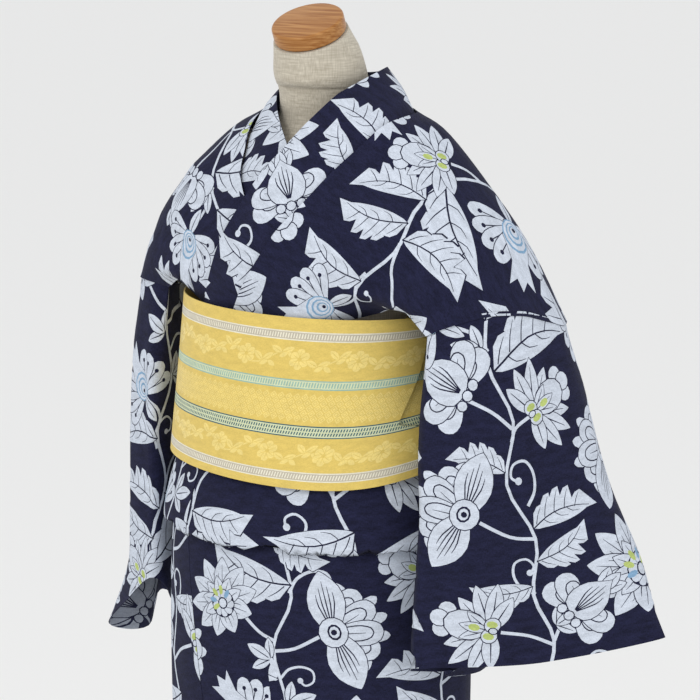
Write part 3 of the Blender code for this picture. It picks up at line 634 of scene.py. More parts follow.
# %% Repeat
REPEAT = (0.36, 0.42)
VINE = 0.0034
MOTIF_SIZE = 1.10
VINES = (
    ((0.050, -0.010), (0.064, 0.030), (0.052, 0.080), (0.070, 0.130), (0.060, 0.190), (0.082, 0.240),
     (0.070, 0.300), (0.048, 0.350), (0.046, 0.385), (0.050, 0.410)),
    ((0.236, -0.010), (0.222, 0.035), (0.236, 0.085), (0.226, 0.140), (0.246, 0.195), (0.232, 0.250),
     (0.252, 0.305), (0.244, 0.360), (0.238, 0.390), (0.236, 0.410)),
    ((0.062, 0.020), (0.074, 0.046), (0.100, 0.064)),
    ((0.060, 0.186), (0.082, 0.190), (0.106, 0.202)),
    ((0.076, 0.290), (0.086, 0.308), (0.104, 0.322)),
    ((0.056, 0.090), (0.050, 0.104), (0.034, 0.114)),
    ((0.062, 0.196), (0.046, 0.204), (0.030, 0.220)),
    ((0.060, 0.322), (0.046, 0.328), (0.034, 0.340)),
    ((0.222, 0.030), (0.244, 0.044), (0.270, 0.052)),
    ((0.226, 0.140), (0.250, 0.146), (0.276, 0.164)),
    ((0.234, 0.244), (0.252, 0.262), (0.274, 0.276)),
    ((0.236, 0.232), (0.230, 0.244), (0.214, 0.252)),
    ((0.222, 0.034), (0.212, 0.052), (0.200, 0.060)),
    ((0.250, 0.312), (0.266, 0.330), (0.292, 0.340)),
)
# Columns: motif, x, y, angle, size, flipped. Leaves come first, so that the flowers lie over them.
MOTIFS = (
    ("tendril", 0.080, 0.244, -46, 1.00, False),
    ("tendril", 0.228, 0.172, 20, 1.00, False),
    ("tendril", 0.234, 0.086, -40, 0.90, True),
    ("tendril", 0.052, 0.062, -4, 0.80, False),
    ("tendril", 0.246, 0.350, -28, 0.80, True),
    ("tendril", 0.066, 0.160, -60, 0.80, False),
    ("tendril", 0.160, 0.404, -70, 1.00, True),
    ("leaf", 0.226, 0.150, 80, 0.76, False),
    ("leaf", 0.228, 0.118, 62, 0.66, True),
    ("leaf", 0.250, 0.338, 50, 1.00, False),
    ("leaf", 0.246, 0.296, 76, 1.06, False),
    ("leaf", 0.048, 0.366, -66, 1.12, True),
    ("leaf", 0.062, 0.016, -94, 0.84, False),
    ("leaf", 0.052, 0.072, 98, 0.80, False),
    ("leaf", 0.238, 0.000, 96, 0.94, True),
    ("leaf", 0.240, 0.384, -64, 0.96, False),
    ("leaf", 0.082, 0.252, 68, 0.98, True),
    ("leaf", 0.054, 0.002, 72, 0.76, False),
    ("leaf", 0.236, 0.094, -84, 0.62, False),
    ("leaf", 0.246, 0.206, -70, 0.60, True),
    ("leaf", 0.068, 0.300, -118, 0.62, False),
    ("leaf", 0.048, 0.392, 64, 0.78, True),
    ("sprig", 0.068, 0.132, -66, 1.05, False),
    ("sprig", 0.252, 0.312, -72, 1.00, False),
    ("sprig", 0.060, 0.176, 62, 0.95, False),
    ("sprig", 0.222, 0.048, 66, 0.90, False),
    ("sprig", 0.242, 0.384, 70, 0.90, False),
    ("open", 0.130, 0.088, -40, 1.06, False),
    ("wing", 0.112, 0.204, -74, 0.98, False),
    ("shell", 0.110, 0.327, -58, 1.16, False),
    ("shell", 0.030, 0.116, 42, 0.98, False),
    ("open", 0.006, 0.230, 30, 0.84, False),
    ("side", 0.030, 0.344, 48, 0.88, False),
    ("side", 0.276, 0.054, -68, 0.95, False),
    ("wing", 0.282, 0.168, -60, 0.98, False),
    ("fruit", 0.280, 0.284, -56, 1.02, False),
    ("side", 0.212, 0.253, 60, 0.88, False),
    ("fruit", 0.198, 0.062, 58, 1.00, False),
    ("shell", 0.298, 0.342, -58, 0.94, False),
)
DRAWN = {
    "open": open_flower(), "side": side_flower(), "wing": wing_flower(), "shell": shell_blossom(),
    "fruit": fruit(), "leaf": leaf(), "sprig": sprig(), "tendril": tendril(),
}


def one_repeat():
    shapes = []
    for points in VINES:
        shapes += stroke(points, (VINE, VINE * 0.9, VINE), "white", 4)
    for kind, x, y, angle, size, flip in MOTIFS:
        shapes += placed(DRAWN[kind], x, y, angle, size * MOTIF_SIZE, flip)
    return shapes


TILE = one_repeat()


def yukata_print(low, high, shift, turned):
    """The outlines of the print that reach into a flat rectangle of cloth."""
    sign = -1 if turned else 1
    shapes = []
    for i in range(-4, 7):
        for j in range(-6, 8):
            corner = np.array([i * REPEAT[0], j * REPEAT[1]]) + shift
            for ink, points in TILE:
                p = sign * (points + corner)
                if (p.max(axis=0) > low).all() and (p.min(axis=0) < high).all():
                    shapes.append((ink, p))
    return shapes


print("outlines in one repeat:", len(TILE))

# %% [markdown]
# ## Cloth, yarn and inks
#
# The cotton is a plain weave of uneven yarn, so light catches on fine ribs across it and the face stays matt.
# The stencil leaves white, green and blue on navy. The back is plain and greyed, except on the sleeve whose
# opening can be looked into, where it shows the same print greyed.

# %% Materials
def surface(name, colour, roughness, metallic=0.0, sheen=0.0):
    made = bpy.data.materials.new(name)
    made.use_nodes = True
    shader = made.node_tree.nodes["Principled BSDF"]
    shader.inputs["Base Color"].default_value = (*colour, 1)
    shader.inputs["Roughness"].default_value = roughness
    shader.inputs["Metallic"].default_value = metallic
    shader.inputs["Sheen Weight"].default_value = sheen
    shader.inputs["Specular IOR Level"].default_value = 0.18
    return made, shader


def node(tree, kind, **inputs):
    made = tree.nodes.new(kind)
    for key, value in inputs.items():
        made.inputs[key].default_value = value
    return made


def weave(made, shader, colour, rib, depth, shade):
    """Ribs of uneven yarn in relief and in tone, on the cloth's flat coordinates. rib is in ribs a metre."""
    tree = made.node_tree
    place = tree.nodes.new("ShaderNodeUVMap")
    place.uv_map = "cloth"
    yarns = []
    for stretch in ((rib * 0.22, rib, 1), (rib * 1.2, rib * 0.3, 1), (rib * 0.05, rib * 0.14, 1)):
        mapping = node(tree, "ShaderNodeMapping", Scale=stretch)
        tree.links.new(place.outputs["UV"], mapping.inputs["Vector"])
        slub = node(tree, "ShaderNodeTexNoise", Scale=1.0, Detail=2.0)
        tree.links.new(mapping.outputs["Vector"], slub.inputs["Vector"])
        yarns.append(slub.outputs["Fac"])
    height = yarns[0]
    for yarn in yarns[1:]:
        both = tree.nodes.new("ShaderNodeMath")
        both.operation = "ADD"
        tree.links.new(height, both.inputs[0])
        tree.links.new(yarn, both.inputs[1])
        height = both.outputs["Value"]
    tone = tree.nodes.new("ShaderNodeMapRange")
    tone.inputs["From Min"].default_value = 1.2
    tone.inputs["From Max"].default_value = 1.8
    tree.links.new(height, tone.inputs["Value"])
    ramp = tree.nodes.new("ShaderNodeValToRGB")
    ramp.color_ramp.elements[0].color = (*[c * (1 - shade) for c in colour], 1)
    ramp.color_ramp.elements[1].color = (*[c * (1 + shade) + shade * 0.004 for c in colour], 1)
    tree.links.new(tone.outputs["Result"], ramp.inputs["Fac"])
    tree.links.new(ramp.outputs["Color"], shader.inputs["Base Color"])
    bump = node(tree, "ShaderNodeBump", Strength=0.6, Distance=depth)
    tree.links.new(height, bump.inputs["Height"])
    tree.links.new(bump.outputs["Normal"], shader.inputs["Normal"])


INKS = {"navy": (0.0095, 0.0105, 0.034), "white": (0.54, 0.585, 0.665), "green": (0.42, 0.50, 0.16),
        "blue": (0.20, 0.34, 0.50)}
COTTON = []
for face in ("front", "back"):
    for ink, colour in INKS.items():
        if face == "back":
            colour = tuple(0.62 * c + 0.38 * n for c, n in zip(colour, (0.035, 0.038, 0.075)))
        made, shader = surface("cotton " + ink + " " + face, colour, 0.90, sheen=0.02)
        weave(made, shader, colour, 1300, 0.0004, 0.40 if ink == "navy" else 0.16)
        COTTON.append(made)
COTTON_INKS = list(INKS)
SASH_INKS = {
    "gold": (0.66, 0.49, 0.125), "satin": (0.76, 0.60, 0.20), "grey": (0.47, 0.42, 0.33),
    "pale": (0.72, 0.69, 0.56), "aqua": (0.26, 0.42, 0.36), "mint": (0.58, 0.62, 0.40),
    "teal": (0.025, 0.095, 0.125),
}
SASH = []
for face in ("front", "back"):
    for ink, colour in SASH_INKS.items():
        rough = 0.38 if ink == "satin" else 0.55
        made, shader = surface("sash " + ink + " " + face, colour, rough, sheen=0.10)
        weave(made, shader, colour, 1500, 0.0002, 0.10)
        SASH.append(made)
SASH_NAMES = list(SASH_INKS)
print("inks:", len(COTTON) + len(SASH))

# %% [markdown]
# ## Cutting, printing and hanging a sheet
#
# The worn sheet is laid flat, the print is drawn on it as outlines and cut into one mesh with the cloth, and
# every corner is then carried back to its place on the worn sheet. So the print bends with the cloth and its
# edges stay sharp. Creases are pressed in first: each is a soft trough or ridge along a line of the sheet.

# %% Cloth
CREASE_GAIN = 1.5
COTTON_WALL, SASH_WALL = 0.0009, 0.0012
THREAD_STEP = 0.006
BACK_SLACK = 0.0012


def creased(worn, flat, creases, outward):
    """Columns of a crease: start across, start along, end across, end along, width, depth in metres."""
    rows, cols = worn.shape[:2]

    def spot(across, along):
        i, j = along * (rows - 1), across * (cols - 1)
        return flat[int(round(min(i, rows - 1))), int(round(min(j, cols - 1)))]

    rise = np.zeros(worn.shape[:2])
    for x0, y0, x1, y1, width, depth in creases:
        a, b = spot(x0, y0), spot(x1, y1)
        run = b - a
        share = ((flat - a) @ run) / max(run @ run, 1e-9)
        off = flat - a - np.clip(share, 0, 1)[..., None] * run
        side = crossed(off, run)
        distance = np.linalg.norm(off, axis=2)
        fade = np.sin(np.clip(share, 0.0, 1.0) * math.pi * 0.92 + 0.12) ** 0.8
        soft = np.where(side > 0, width * 1.5, width * 0.8)
        rise += CREASE_GAIN * depth * fade * np.exp(-((distance / soft) ** 2))
    return worn + grid_normals(worn) * (outward * rise)[..., None]


def border(count_rows, count_cols):
    top = [(0, j) for j in range(count_cols)]
    right = [(i, count_cols - 1) for i in range(1, count_rows)]
    bottom = [(count_rows - 1, j) for j in range(count_cols - 2, -1, -1)]
    left = [(i, 0) for i in range(count_rows - 2, 0, -1)]
    return top + right + bottom + left


def counter_clockwise(p):
    return p if crossed(p, np.roll(p, -1, axis=0)).sum() > 0 else p[::-1]


def edge_owners(faces, count):
    """Each edge's ends, and its two faces, the second -1 on a rim."""
    sides = np.concatenate([faces[:, [0, 1]], faces[:, [1, 2]], faces[:, [2, 0]]])
    owner = np.tile(np.arange(len(faces)), 3)
    code = sides.min(axis=1).astype(np.int64) * count + sides.max(axis=1)
    order = np.argsort(code, kind="stable")
    sides, owner, code = sides[order], owner[order], code[order]
    first = np.concatenate([[True], code[1:] != code[:-1]])
    place = np.flatnonzero(first)
    paired = np.zeros(len(place), bool)
    paired[:-1] = np.diff(place) > 1
    paired[-1] = len(code) - place[-1] > 1
    second = np.where(paired, owner[np.minimum(place + 1, len(owner) - 1)], -1)
    return sides[place], owner[place], second


def thinned(spots, lines, held, slack=0.00008, longest=0.007):
    """The same lines without the points that lie on a straight run of them."""
    for _ in range(5):
        ends = np.concatenate([lines, lines[:, ::-1]])
        ends = ends[np.argsort(ends[:, 0], kind="stable")]
        degree = np.bincount(ends[:, 0], minlength=len(spots))
        start = np.searchsorted(ends[:, 0], np.arange(len(spots)))
        two = np.flatnonzero((degree == 2) & ~held)
        p, q = ends[start[two], 1], ends[start[two] + 1, 1]
        chord, off = spots[q] - spots[p], spots[two] - spots[p]
        length = np.maximum(np.linalg.norm(chord, axis=1), 1e-9)
        away = np.abs(crossed(chord, off)) / length
        rank = np.full(len(spots), np.inf)
        rank[two] = away + two * 1e-12
        go = (away < slack) & (length < longest) & (rank[two] < rank[p]) & (rank[two] < rank[q]) & (p != q)
        gone = np.zeros(len(spots), bool)
        gone[two[go]] = True
        lines = np.concatenate([lines[~gone[lines].any(axis=1)], np.column_stack([p[go], q[go]])])
    return lines


def triangulated(points, lines):
    """A constrained Delaunay triangulation: points, faces, and where each given point went."""
    spots, _, faces, origins, _, _ = delaunay_2d_cdt([Vector(p) for p in points], lines.tolist(), [], 0, 1e-6)
    went = np.zeros(len(points), int)
    for k, sources in enumerate(origins):
        for source in sources:
            went[source] = k
    return np.array([p[:] for p in spots]), np.array(faces), went


def printed_net(edge, shapes, inks, inner):
    """A flat sheet cut into triangles along its print.

    It gives the points, the faces, each face's ink, and a test that finds the ink of other faces.
    """
    points, polygons, ink_of = [Vector(p) for p in edge], [list(range(len(edge)))], [0]
    for ink, p in shapes:
        polygons.append(list(range(len(points), len(points) + len(p))))
        points += [Vector(q) for q in counter_clockwise(p)]
        ink_of.append(inks.index(ink))
    spots, _, faces, sources, _, origins = delaunay_2d_cdt(points, [], polygons, 0, 2e-5)
    ink = np.array([ink_of[max(o)] if 0 in o else -1 for o in origins])
    tree = BVHTree.FromPolygons([(p[0], p[1], 0.0) for p in spots], faces)
    spots, faces = np.array([p[:] for p in spots]), np.array(faces)
    sides, one, other = edge_owners(faces, len(spots))
    lines = sides[ink[one] != np.where(other < 0, -1, ink[other])]
    held = np.array([any(k < len(edge) for k in source) for source in sources])
    lines = thinned(spots, lines, held)
    used, lines = np.unique(lines, return_inverse=True)

    def ink_at(spots, faces):
        middles = spots[faces].mean(axis=1)
        return np.array([ink[tree.find_nearest((x, y, 0.0))[2]] for x, y in middles])

    spots, faces, _ = triangulated(np.vstack([spots[used], inner]), lines.reshape(-1, 2))
    inked = ink_at(spots, faces)
    return spots, faces[inked >= 0], inked[inked >= 0], ink_at


def cloth(
    name, worn, draw, inks, palette, creases=(), thickness=COTTON_WALL, flip=False, shape=None, lined=False,
    straight="",
):
    """A printed sheet with a wall. draw gives a flat rectangle's outlines, and lined prints the back too."""
    worn = resample(worn, THREAD_STEP)
    flat = ruled(worn, straight) if straight else flatten(worn)
    worn = creased(worn, flat, creases, 1 if flip else -1)
    if shape is not None:
        worn = shape(worn)
    outward = grid_normals(worn) * (1 if flip else -1)
    rows, cols = worn.shape[:2]
    index = np.arange(rows * cols).reshape(rows, cols)
    a, b, c, d = index[:-1, :-1], index[:-1, 1:], index[1:, 1:], index[1:, :-1]
    triangles = np.concatenate([np.stack(three, -1).reshape(-1, 3) for three in ((a, b, c), (a, c, d))])
    flat_points = flat.reshape(-1, 2)
    net_tree = BVHTree.FromPolygons([(x, y, 0.0) for x, y in flat_points], triangles.tolist())
    carried = np.hstack([worn.reshape(-1, 3), outward.reshape(-1, 3)])

    def hang(spots):
        """Worn places and normals of flat spots."""
        found = [net_tree.find_nearest((x, y, 0.0)) for x, y in spots]
        corners = triangles[[f[2] for f in found]]
        p0, p1, p2 = (flat_points[corners[:, k]] for k in range(3))
        on = np.array([f[0][:2] for f in found])
        area = crossed(p1 - p0, p2 - p0)
        w1 = crossed(on - p0, p2 - p0) / area
        w2 = crossed(p1 - p0, on - p0) / area
        both = (1 - w1 - w2)[:, None] * carried[corners[:, 0]]
        both = both + w1[:, None] * carried[corners[:, 1]] + w2[:, None] * carried[corners[:, 2]]
        return both[:, :3], both[:, 3:] / np.linalg.norm(both[:, 3:], axis=1, keepdims=True)

    low, high = flat_points.min(axis=0), flat_points.max(axis=0)
    edge = counter_clockwise(np.array([flat[i, j] for i, j in border(rows, cols)]))
    inner = flat[2:-2:2, 2:-2:2].reshape(-1, 2)
    spots, faces, inked, ink_at = printed_net(edge, draw(low, high), inks, inner)
    place, normal = hang(spots)
    sides, _, other = edge_owners(faces, len(spots))
    rim = sides[other < 0]
    if lined:
        back_spots, back_faces, back_ink, went = spots, faces, inked + len(inks), np.arange(len(spots))
    else:
        ends, lines = np.unique(rim, return_inverse=True)
        back_spots, back_faces, order = triangulated(np.vstack([spots[ends], inner]), lines.reshape(-1, 2))
        back_faces = back_faces[ink_at(back_spots, back_faces) >= 0]
        back_ink = np.full(len(back_faces), len(inks))
        went = np.zeros(len(spots), int)
        went[ends] = order[:len(ends)]
    back_place, back_normal = hang(back_spots)
    if flip:
        faces, back_faces, rim = faces[:, ::-1], back_faces[:, ::-1], rim[:, ::-1]
    back_faces = back_faces[:, ::-1]
    way = np.cross(place[rim[:, 1]] - place[rim[:, 0]], normal[rim[:, 0]])
    way /= np.maximum(np.linalg.norm(way, axis=1, keepdims=True), 1e-12)
    here, there = rim[:, 0], rim[:, 1]
    back_here, back_there = went[here] + len(spots), went[there] + len(spots)
    walls = np.concatenate(
        [np.column_stack([there, here, back_here]), np.column_stack([there, back_here, back_there])]
    )
    every = np.concatenate([faces, back_faces + len(spots), walls])
    # The plain back is cut coarser than the front, so inside the rim it hangs a little further off.
    apart = np.full(len(back_spots), thickness / 2 if lined else thickness / 2 + BACK_SLACK)
    apart[went[rim]] = thickness / 2
    points = np.concatenate([place + normal * thickness / 2, back_place - back_normal * apart[:, None]])
    front_normals, back_normals = normal[faces].reshape(-1, 3), -back_normal[back_faces].reshape(-1, 3)
    corner_normals = np.concatenate([front_normals, back_normals, np.repeat(np.tile(way, (2, 1)), 3, axis=0)])

    mesh = bpy.data.meshes.new(name)
    mesh.from_pydata(points.tolist(), [], every.tolist())
    filled = np.concatenate([inked, back_ink, np.zeros(len(walls), int)]).astype(np.int32)
    mesh.polygons.foreach_set("material_index", filled)
    layer = mesh.uv_layers.new(name="cloth")
    layer.data.foreach_set("uv", np.concatenate([spots, back_spots])[every].astype(np.float32).ravel())
    for made in palette:
        mesh.materials.append(made)
    mesh.shade_smooth()
    mesh.normals_split_custom_set(corner_normals.tolist())
    piece = bpy.data.objects.new(name, mesh)
    bpy.context.scene.collection.objects.link(piece)
    size = high - low
    corners = worn.reshape(-1, 3)[triangles]
    doubled = np.cross(corners[:, 1] - corners[:, 0], corners[:, 2] - corners[:, 0])
    area = float(np.linalg.norm(doubled, axis=1).sum() / 2)
    print(name, "cut", size.round(3), "area", round(area, 3), "triangles", len(every))
    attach(piece, "root")
    return piece, (float(size[0]), float(size[1])), area


def robe_piece(
    name, worn, node, shift, turned=False, creases=(), flip=False, shape=None,
    lined=False,
):
    """A piece of the robe over its node. shift moves the print on it, and turned lays the bolt upside down."""
    def draw(low, high):
        return yukata_print(low, high, np.array(shift), turned)

    piece, size, area = cloth(name, worn, draw, COTTON_INKS, COTTON, creases, flip=flip, shape=shape,
                              lined=lined)
    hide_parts(node)


print("ready to cut")

# %% [markdown]
# ## The collar
#
# The collar is a long strip folded to a 5.5 cm band. It goes round the neck, stands off the nape, and crosses
# at the chest with the wearer's left end over the right.

# %% Collar
collar_rows = []
for upper, seam in COLLAR_STATIONS:
    upper, seam = np.array(upper), np.array(seam)
    middle = (upper + seam) / 2
    outward = middle - np.array([0, 0.015, middle[2] - 0.03])
    collar_rows.append((upper, middle + 0.003 * outward / np.linalg.norm(outward), seam))
COLLAR = net(collar_rows, 8, 8)
robe_piece(
    "collar_cloth", COLLAR, "collar", (0.20, 0.13),
    creases=(
        (0.2, 0.62, 0.8, 0.70, 0.006, -0.0012),
        (0.3, 0.82, 0.9, 0.88, 0.008, 0.0012),
    ),
)

# %% [markdown]
# ## The two halves of the bodice
#
# Each half is one length of cloth over the shoulder with no seam there. The edge goes under the collar band
# and the far edge hangs past the form's shoulder as a short cape, where the sleeve is sewn on.

# %% Bodice
def tucked_edge(station):
    band = COLLAR[::8]
    ahead, behind = min(station + 1, len(band) - 1), max(station - 1, 0)
    along = band[ahead, -1] - band[behind, -1]
    across = band[station, -1] - band[station, -2]
    across = across / np.linalg.norm(across)
    inward = np.cross(along, across)
    return band[station, -1] - across * 0.003 + inward / np.linalg.norm(inward) * 0.0034


def bodice_grid(table):
    rows = []
    for row in table:
        edge = tucked_edge(row[0]) if isinstance(row[0], int) else np.array(row[0])
        if row[0] == 9:
            edge[0] = math.copysign(0.0008, row[1][0])
        rows.append((edge, *row[1:]))
    return net(rows, 10, 8)


LEFT_FRONT, RIGHT_FRONT = bodice_grid(LEFT_BODICE), bodice_grid(RIGHT_BODICE)
robe_piece(
    "left_bodice_cloth", LEFT_FRONT, "left_bodice", (0.05, 0.30), flip=True,
    creases=(
        (0.30, 0.10, 0.72, 0.16, 0.010, -0.0030),
        (0.55, 0.04, 0.86, 0.22, 0.009, 0.0030),
        (0.70, 0.06, 0.95, 0.30, 0.008, -0.0028),
        (0.20, 0.22, 0.60, 0.30, 0.014, 0.0016),
        (0.62, 0.86, 0.95, 0.72, 0.010, 0.0030),
        (0.30, 0.92, 0.70, 0.80, 0.012, -0.0030),
    ),
)
robe_piece(
    "right_bodice_cloth", RIGHT_FRONT, "right_bodice", (0.16, 0.02),
    creases=(
        (0.35, 0.12, 0.80, 0.36, 0.008, -0.0026),
        (0.50, 0.06, 0.92, 0.22, 0.007, 0.0026),
        (0.25, 0.30, 0.55, 0.42, 0.010, 0.0014),
        (0.62, 0.86, 0.95, 0.72, 0.010, 0.0030),
        (0.30, 0.92, 0.70, 0.80, 0.012, -0.0030),
    ),
)

# %% [markdown]
# ## The sleeves
#
# Each sleeve is one length of cloth folded at the top and sewn shut below the hand's opening. With no arm in
# it the sleeve hangs from the shoulder and its depth swings back round the body's side.

# %% Sleeves
def sleeve_grid(table):
    grid = net([row[4:] + row[:4] for row in table], 10, 12, closed=True)
    return np.concatenate([grid, grid[:, :1]], axis=1)


def sewn_cuff(worn):
    """Draws the two layers of the cuff together between the front fold and the closed corner."""
    rows, cols = worn.shape[:2]
    reach = int(round((cols - 1) * 0.26))
    start = int(rows * 0.90)
    for i in range(start, rows):
        pulled = ((i - start) / (rows - 1 - start)) ** 2
        for k in range(reach):
            a, b = worn[i, k].copy(), worn[i, cols - 1 - k].copy()
            middle = (a + b) / 2
            hold = pulled * min(1.0, (reach - k) / 6)
            gap = (a - b) / max(np.linalg.norm(a - b), 1e-6) * 0.0007
            worn[i, k] = a * (1 - hold) + (middle + gap) * hold
            worn[i, cols - 1 - k] = b * (1 - hold) + (middle - gap) * hold
    return worn


def sewn_sleeve(armhole):
    """Draws the sleeve's top on to the bodice's edge, just inside it, and closes the cuff."""
    line = spline(armhole, 3)

    def shape(worn):
        rows = worn.shape[0]
        centre = worn[0].mean(axis=0)
        reach = int(rows * 0.22)
        for j in range(worn.shape[1]):
            gaps = line - worn[0, j]
            gap = gaps[np.argmin(np.linalg.norm(gaps, axis=1))]
            far = np.linalg.norm(gap)
            inward = centre - worn[0, j]
            inward[2] = 0
            gap = gap + 0.0022 * inward / np.linalg.norm(inward) + np.array([0, 0, 0.004])
            gap *= float(np.clip((0.060 - far) / 0.025, 0, 1))
            for i in range(reach):
                worn[i, j] += gap * (0.5 + 0.5 * math.cos(math.pi * i / reach))
        return sewn_cuff(worn)

    return shape


robe_piece(
    "left_sleeve_cloth", sleeve_grid(LEFT_SLEEVE), "left_sleeve", (0.10, 0.08), flip=True,
    shape=sewn_sleeve(LEFT_FRONT[:, -1]),
    creases=(
        (0.70, 0.02, 0.72, 0.98, 0.010, -0.0022),
        (0.60, 0.10, 0.66, 0.86, 0.013, 0.0026),
        (0.52, 0.30, 0.56, 0.98, 0.012, -0.0020),
        (0.78, 0.00, 0.74, 0.50, 0.008, 0.0022),
        (0.30, 0.05, 0.26, 0.90, 0.016, -0.0040),
        (0.14, 0.05, 0.16, 0.80, 0.012, 0.0030),
    ),
)
robe_piece(
    "right_sleeve_cloth", sleeve_grid(RIGHT_SLEEVE), "right_sleeve", (0.24, 0.20), lined=True,
    shape=sewn_sleeve(RIGHT_FRONT[:, -1]),
    creases=(
        (0.64, 0.02, 0.68, 0.80, 0.010, -0.0026),
        (0.56, 0.20, 0.60, 0.98, 0.010, 0.0024),
        (0.72, 0.40, 0.66, 0.98, 0.008, -0.0020),
        (0.30, 0.05, 0.26, 0.90, 0.014, -0.0030),
        (0.14, 0.05, 0.16, 0.80, 0.012, 0.0030),
    ),
)

# %% [markdown]
# ## The waist fold and the skirt
#
# The robe is cut longer than the wearer, and the extra length is folded up at the waist, so a doubled edge
# shows under the sash. The right front is wrapped first and the left front lies over it.

# %% Skirt
def edge_angle(height, column):
    table = np.array(SKIRT_EDGES)[::-1]
    return float(np.interp(height, table[:, 0], table[:, column]))


def wrapped(start, end, heights, out, across):
    grid = []
    for height in heights:
        ends = [edge_angle(height, e[0]) + e[1] if isinstance(e, tuple) else e for e in (start, end)]
        grid.append([around(FINE_SKIRT, a, height, out) for a in np.linspace(ends[0], ends[1], across + 1)])
    return np.array(grid)


HEIGHTS = np.linspace(0.995, 0.075, 90)
UNDER, OVER = 0.0010, 0.0040
BACK_SEAM = 179.8
SKIRT_FOLDS = (
    (0.18, 0.02, 0.22, 0.55, 0.020, -0.0022),
    (0.40, 0.05, 0.36, 0.98, 0.026, 0.0020),
    (0.58, 0.02, 0.60, 0.70, 0.018, -0.0022),
    (0.74, 0.10, 0.72, 0.99, 0.024, 0.0024),
    (0.90, 0.02, 0.88, 0.60, 0.018, -0.0020),
)
UNDER_FOLDS = ((0.12, 0.05, 0.10, 0.9, 0.024, 0.0018), (0.26, 0.05, 0.30, 0.6, 0.018, 0.0014))
robe_piece(
    "left_body_skirt_cloth", wrapped((2, 0.15), BACK_SEAM, HEIGHTS, OVER, 60), "left_body_skirt",
    (0.02, 0.05), creases=SKIRT_FOLDS,
)
robe_piece(
    "left_overlap_cloth", wrapped((1, 0), (2, -0.15), HEIGHTS, OVER, 24), "left_overlap_skirt", (0.22, 0.16),
    creases=((0.55, 0.05, 0.50, 0.9, 0.016, 0.0012),),
)
robe_piece(
    "right_body_skirt_cloth", wrapped(-BACK_SEAM, (3, -0.15), HEIGHTS, UNDER, 60), "right_body_skirt",
    (0.12, 0.22), turned=True, creases=UNDER_FOLDS,
)
robe_piece(
    "right_overlap_cloth", wrapped((3, 0.15), (4, 0), HEIGHTS, UNDER, 24), "right_overlap_skirt",
    (0.30, 0.30), turned=True,
)

FOLD_PROFILE = (
    (0.985, -0.0010),
    (0.955, 0.0040),
    (0.930, 0.0062),
    (0.913, 0.0068),
    (0.905, 0.0052),
    (0.912, 0.0036),
)


def waist_fold(start, end):
    grid = []
    for height, out in spline(FOLD_PROFILE, 6):
        steps = max(8, round((end - start) / 3))
        lifts = [0.006 * (0.5 - 0.5 * math.cos(math.radians(a))) for a in np.linspace(start, end, steps + 1)]
        angles = np.linspace(start, end, steps + 1)
        grid.append([around(FINE_SKIRT, a, height + lift, 0.0080 + out) for a, lift in zip(angles, lifts)])
    return np.array(grid)


WAIST_CREASES = (
    (0.25, 0.1, 0.30, 0.8, 0.008, -0.0012),
    (0.62, 0.0, 0.56, 0.7, 0.010, 0.0014),
    (0.85, 0.1, 0.82, 0.7, 0.008, -0.0012),
)
robe_piece(
    "waist_fold_left_cloth", waist_fold(-29.75, 179.75), "waist_fold_left", (0.30, 0.36),
    creases=WAIST_CREASES,
)
robe_piece(
    "waist_fold_overlap_cloth", waist_fold(-112, -30.25), "waist_fold_overlap", (0.08, 0.24),
)
robe_piece(
    "waist_fold_right_cloth", waist_fold(-179.75, -112.65), "waist_fold_right", (0.16, 0.10),
)

# %% [markdown]
# ## The sash
#
# The sash is a stiff narrow weave about 16 cm wide. Ladder-like stripes run along it: a grey one near each
# edge, a light aqua one and a dark teal one. Between them the ground has its own tone-on-tone figures.

# %% Sash weave
SASH_WIDE = 0.160
JACQUARD = {"white": "satin", "navy": "gold", "green": "gold", "blue": "gold"}


def bar(x0, x1, y0, y1, ink):
    """A stripe, with points along it so that it can follow the body round."""
    along = np.linspace(x0, x1, max(1, int((x1 - x0) / THREAD_STEP)) + 1)
    return (ink, np.array([(x, y0) for x in along] + [(x, y1) for x in along[::-1]]))


def ladder(x0, x1, middle, rail, rung, ground=None, pitch=0.0027, rows=1, tall=0.0046):
    """Two rails with one or two rows of short rungs between them."""
    half = tall * rows / 2 + 0.0009 * rows
    shapes = []
    if ground:
        shapes.append(bar(x0, x1, middle - half - 0.00115, middle + half + 0.00115, ground))
    for side in (-1, 1):
        y = middle + side * (half + 0.0006)
        shapes.append(bar(x0, x1, y - 0.00055, y + 0.00055, rail))
    for row in range(rows):
        y = middle + (row - (rows - 1) / 2) * (tall + 0.0012)
        for k in range(int((x1 - x0) / pitch)):
            x = x0 + (k + 0.5) * pitch
            shapes.append(bar(x - 0.00062, x + 0.00062, y - tall / 2, y + tall / 2, rung))
    return shapes


def scroll(x0, x1, middle):
    """Small flowers and leaves on a running stem, tone on tone."""
    shapes = []
    count = max(2, int((x1 - x0) / 0.009))
    line = [(x, middle + 0.007 * math.sin(x * 98)) for x in np.linspace(x0, x1, count)]
    shapes += stroke(line, (0.0014, 0.0014), "white", 1)
    for k, x in enumerate(np.arange(x0 + 0.010, x1 - 0.010, 0.0185)):
        y = middle + 0.006 * math.sin(x * 98)
        if k % 3 == 1:
            for angle in range(0, 360, 60):
                shapes += placed(petal(0.0100, 0.0072, ROUNDED, veins=1, line=0.0007, gap=0.0006),
                                 x, middle, angle)
            shapes += disc(x, middle, 0.0022, "navy", 7)
        else:
            for side in (-1, 1):
                shapes += placed(petal(0.0125, 0.0060, veins=1, line=0.0007, gap=0.0006),
                                 x, y, side * (52 + 14 * (k % 2)))
                shapes += placed(petal(0.0090, 0.0048, veins=0, gap=0.0006), x + 0.006, y, side * 118)
    return [(JACQUARD[ink], p) for ink, p in shapes]


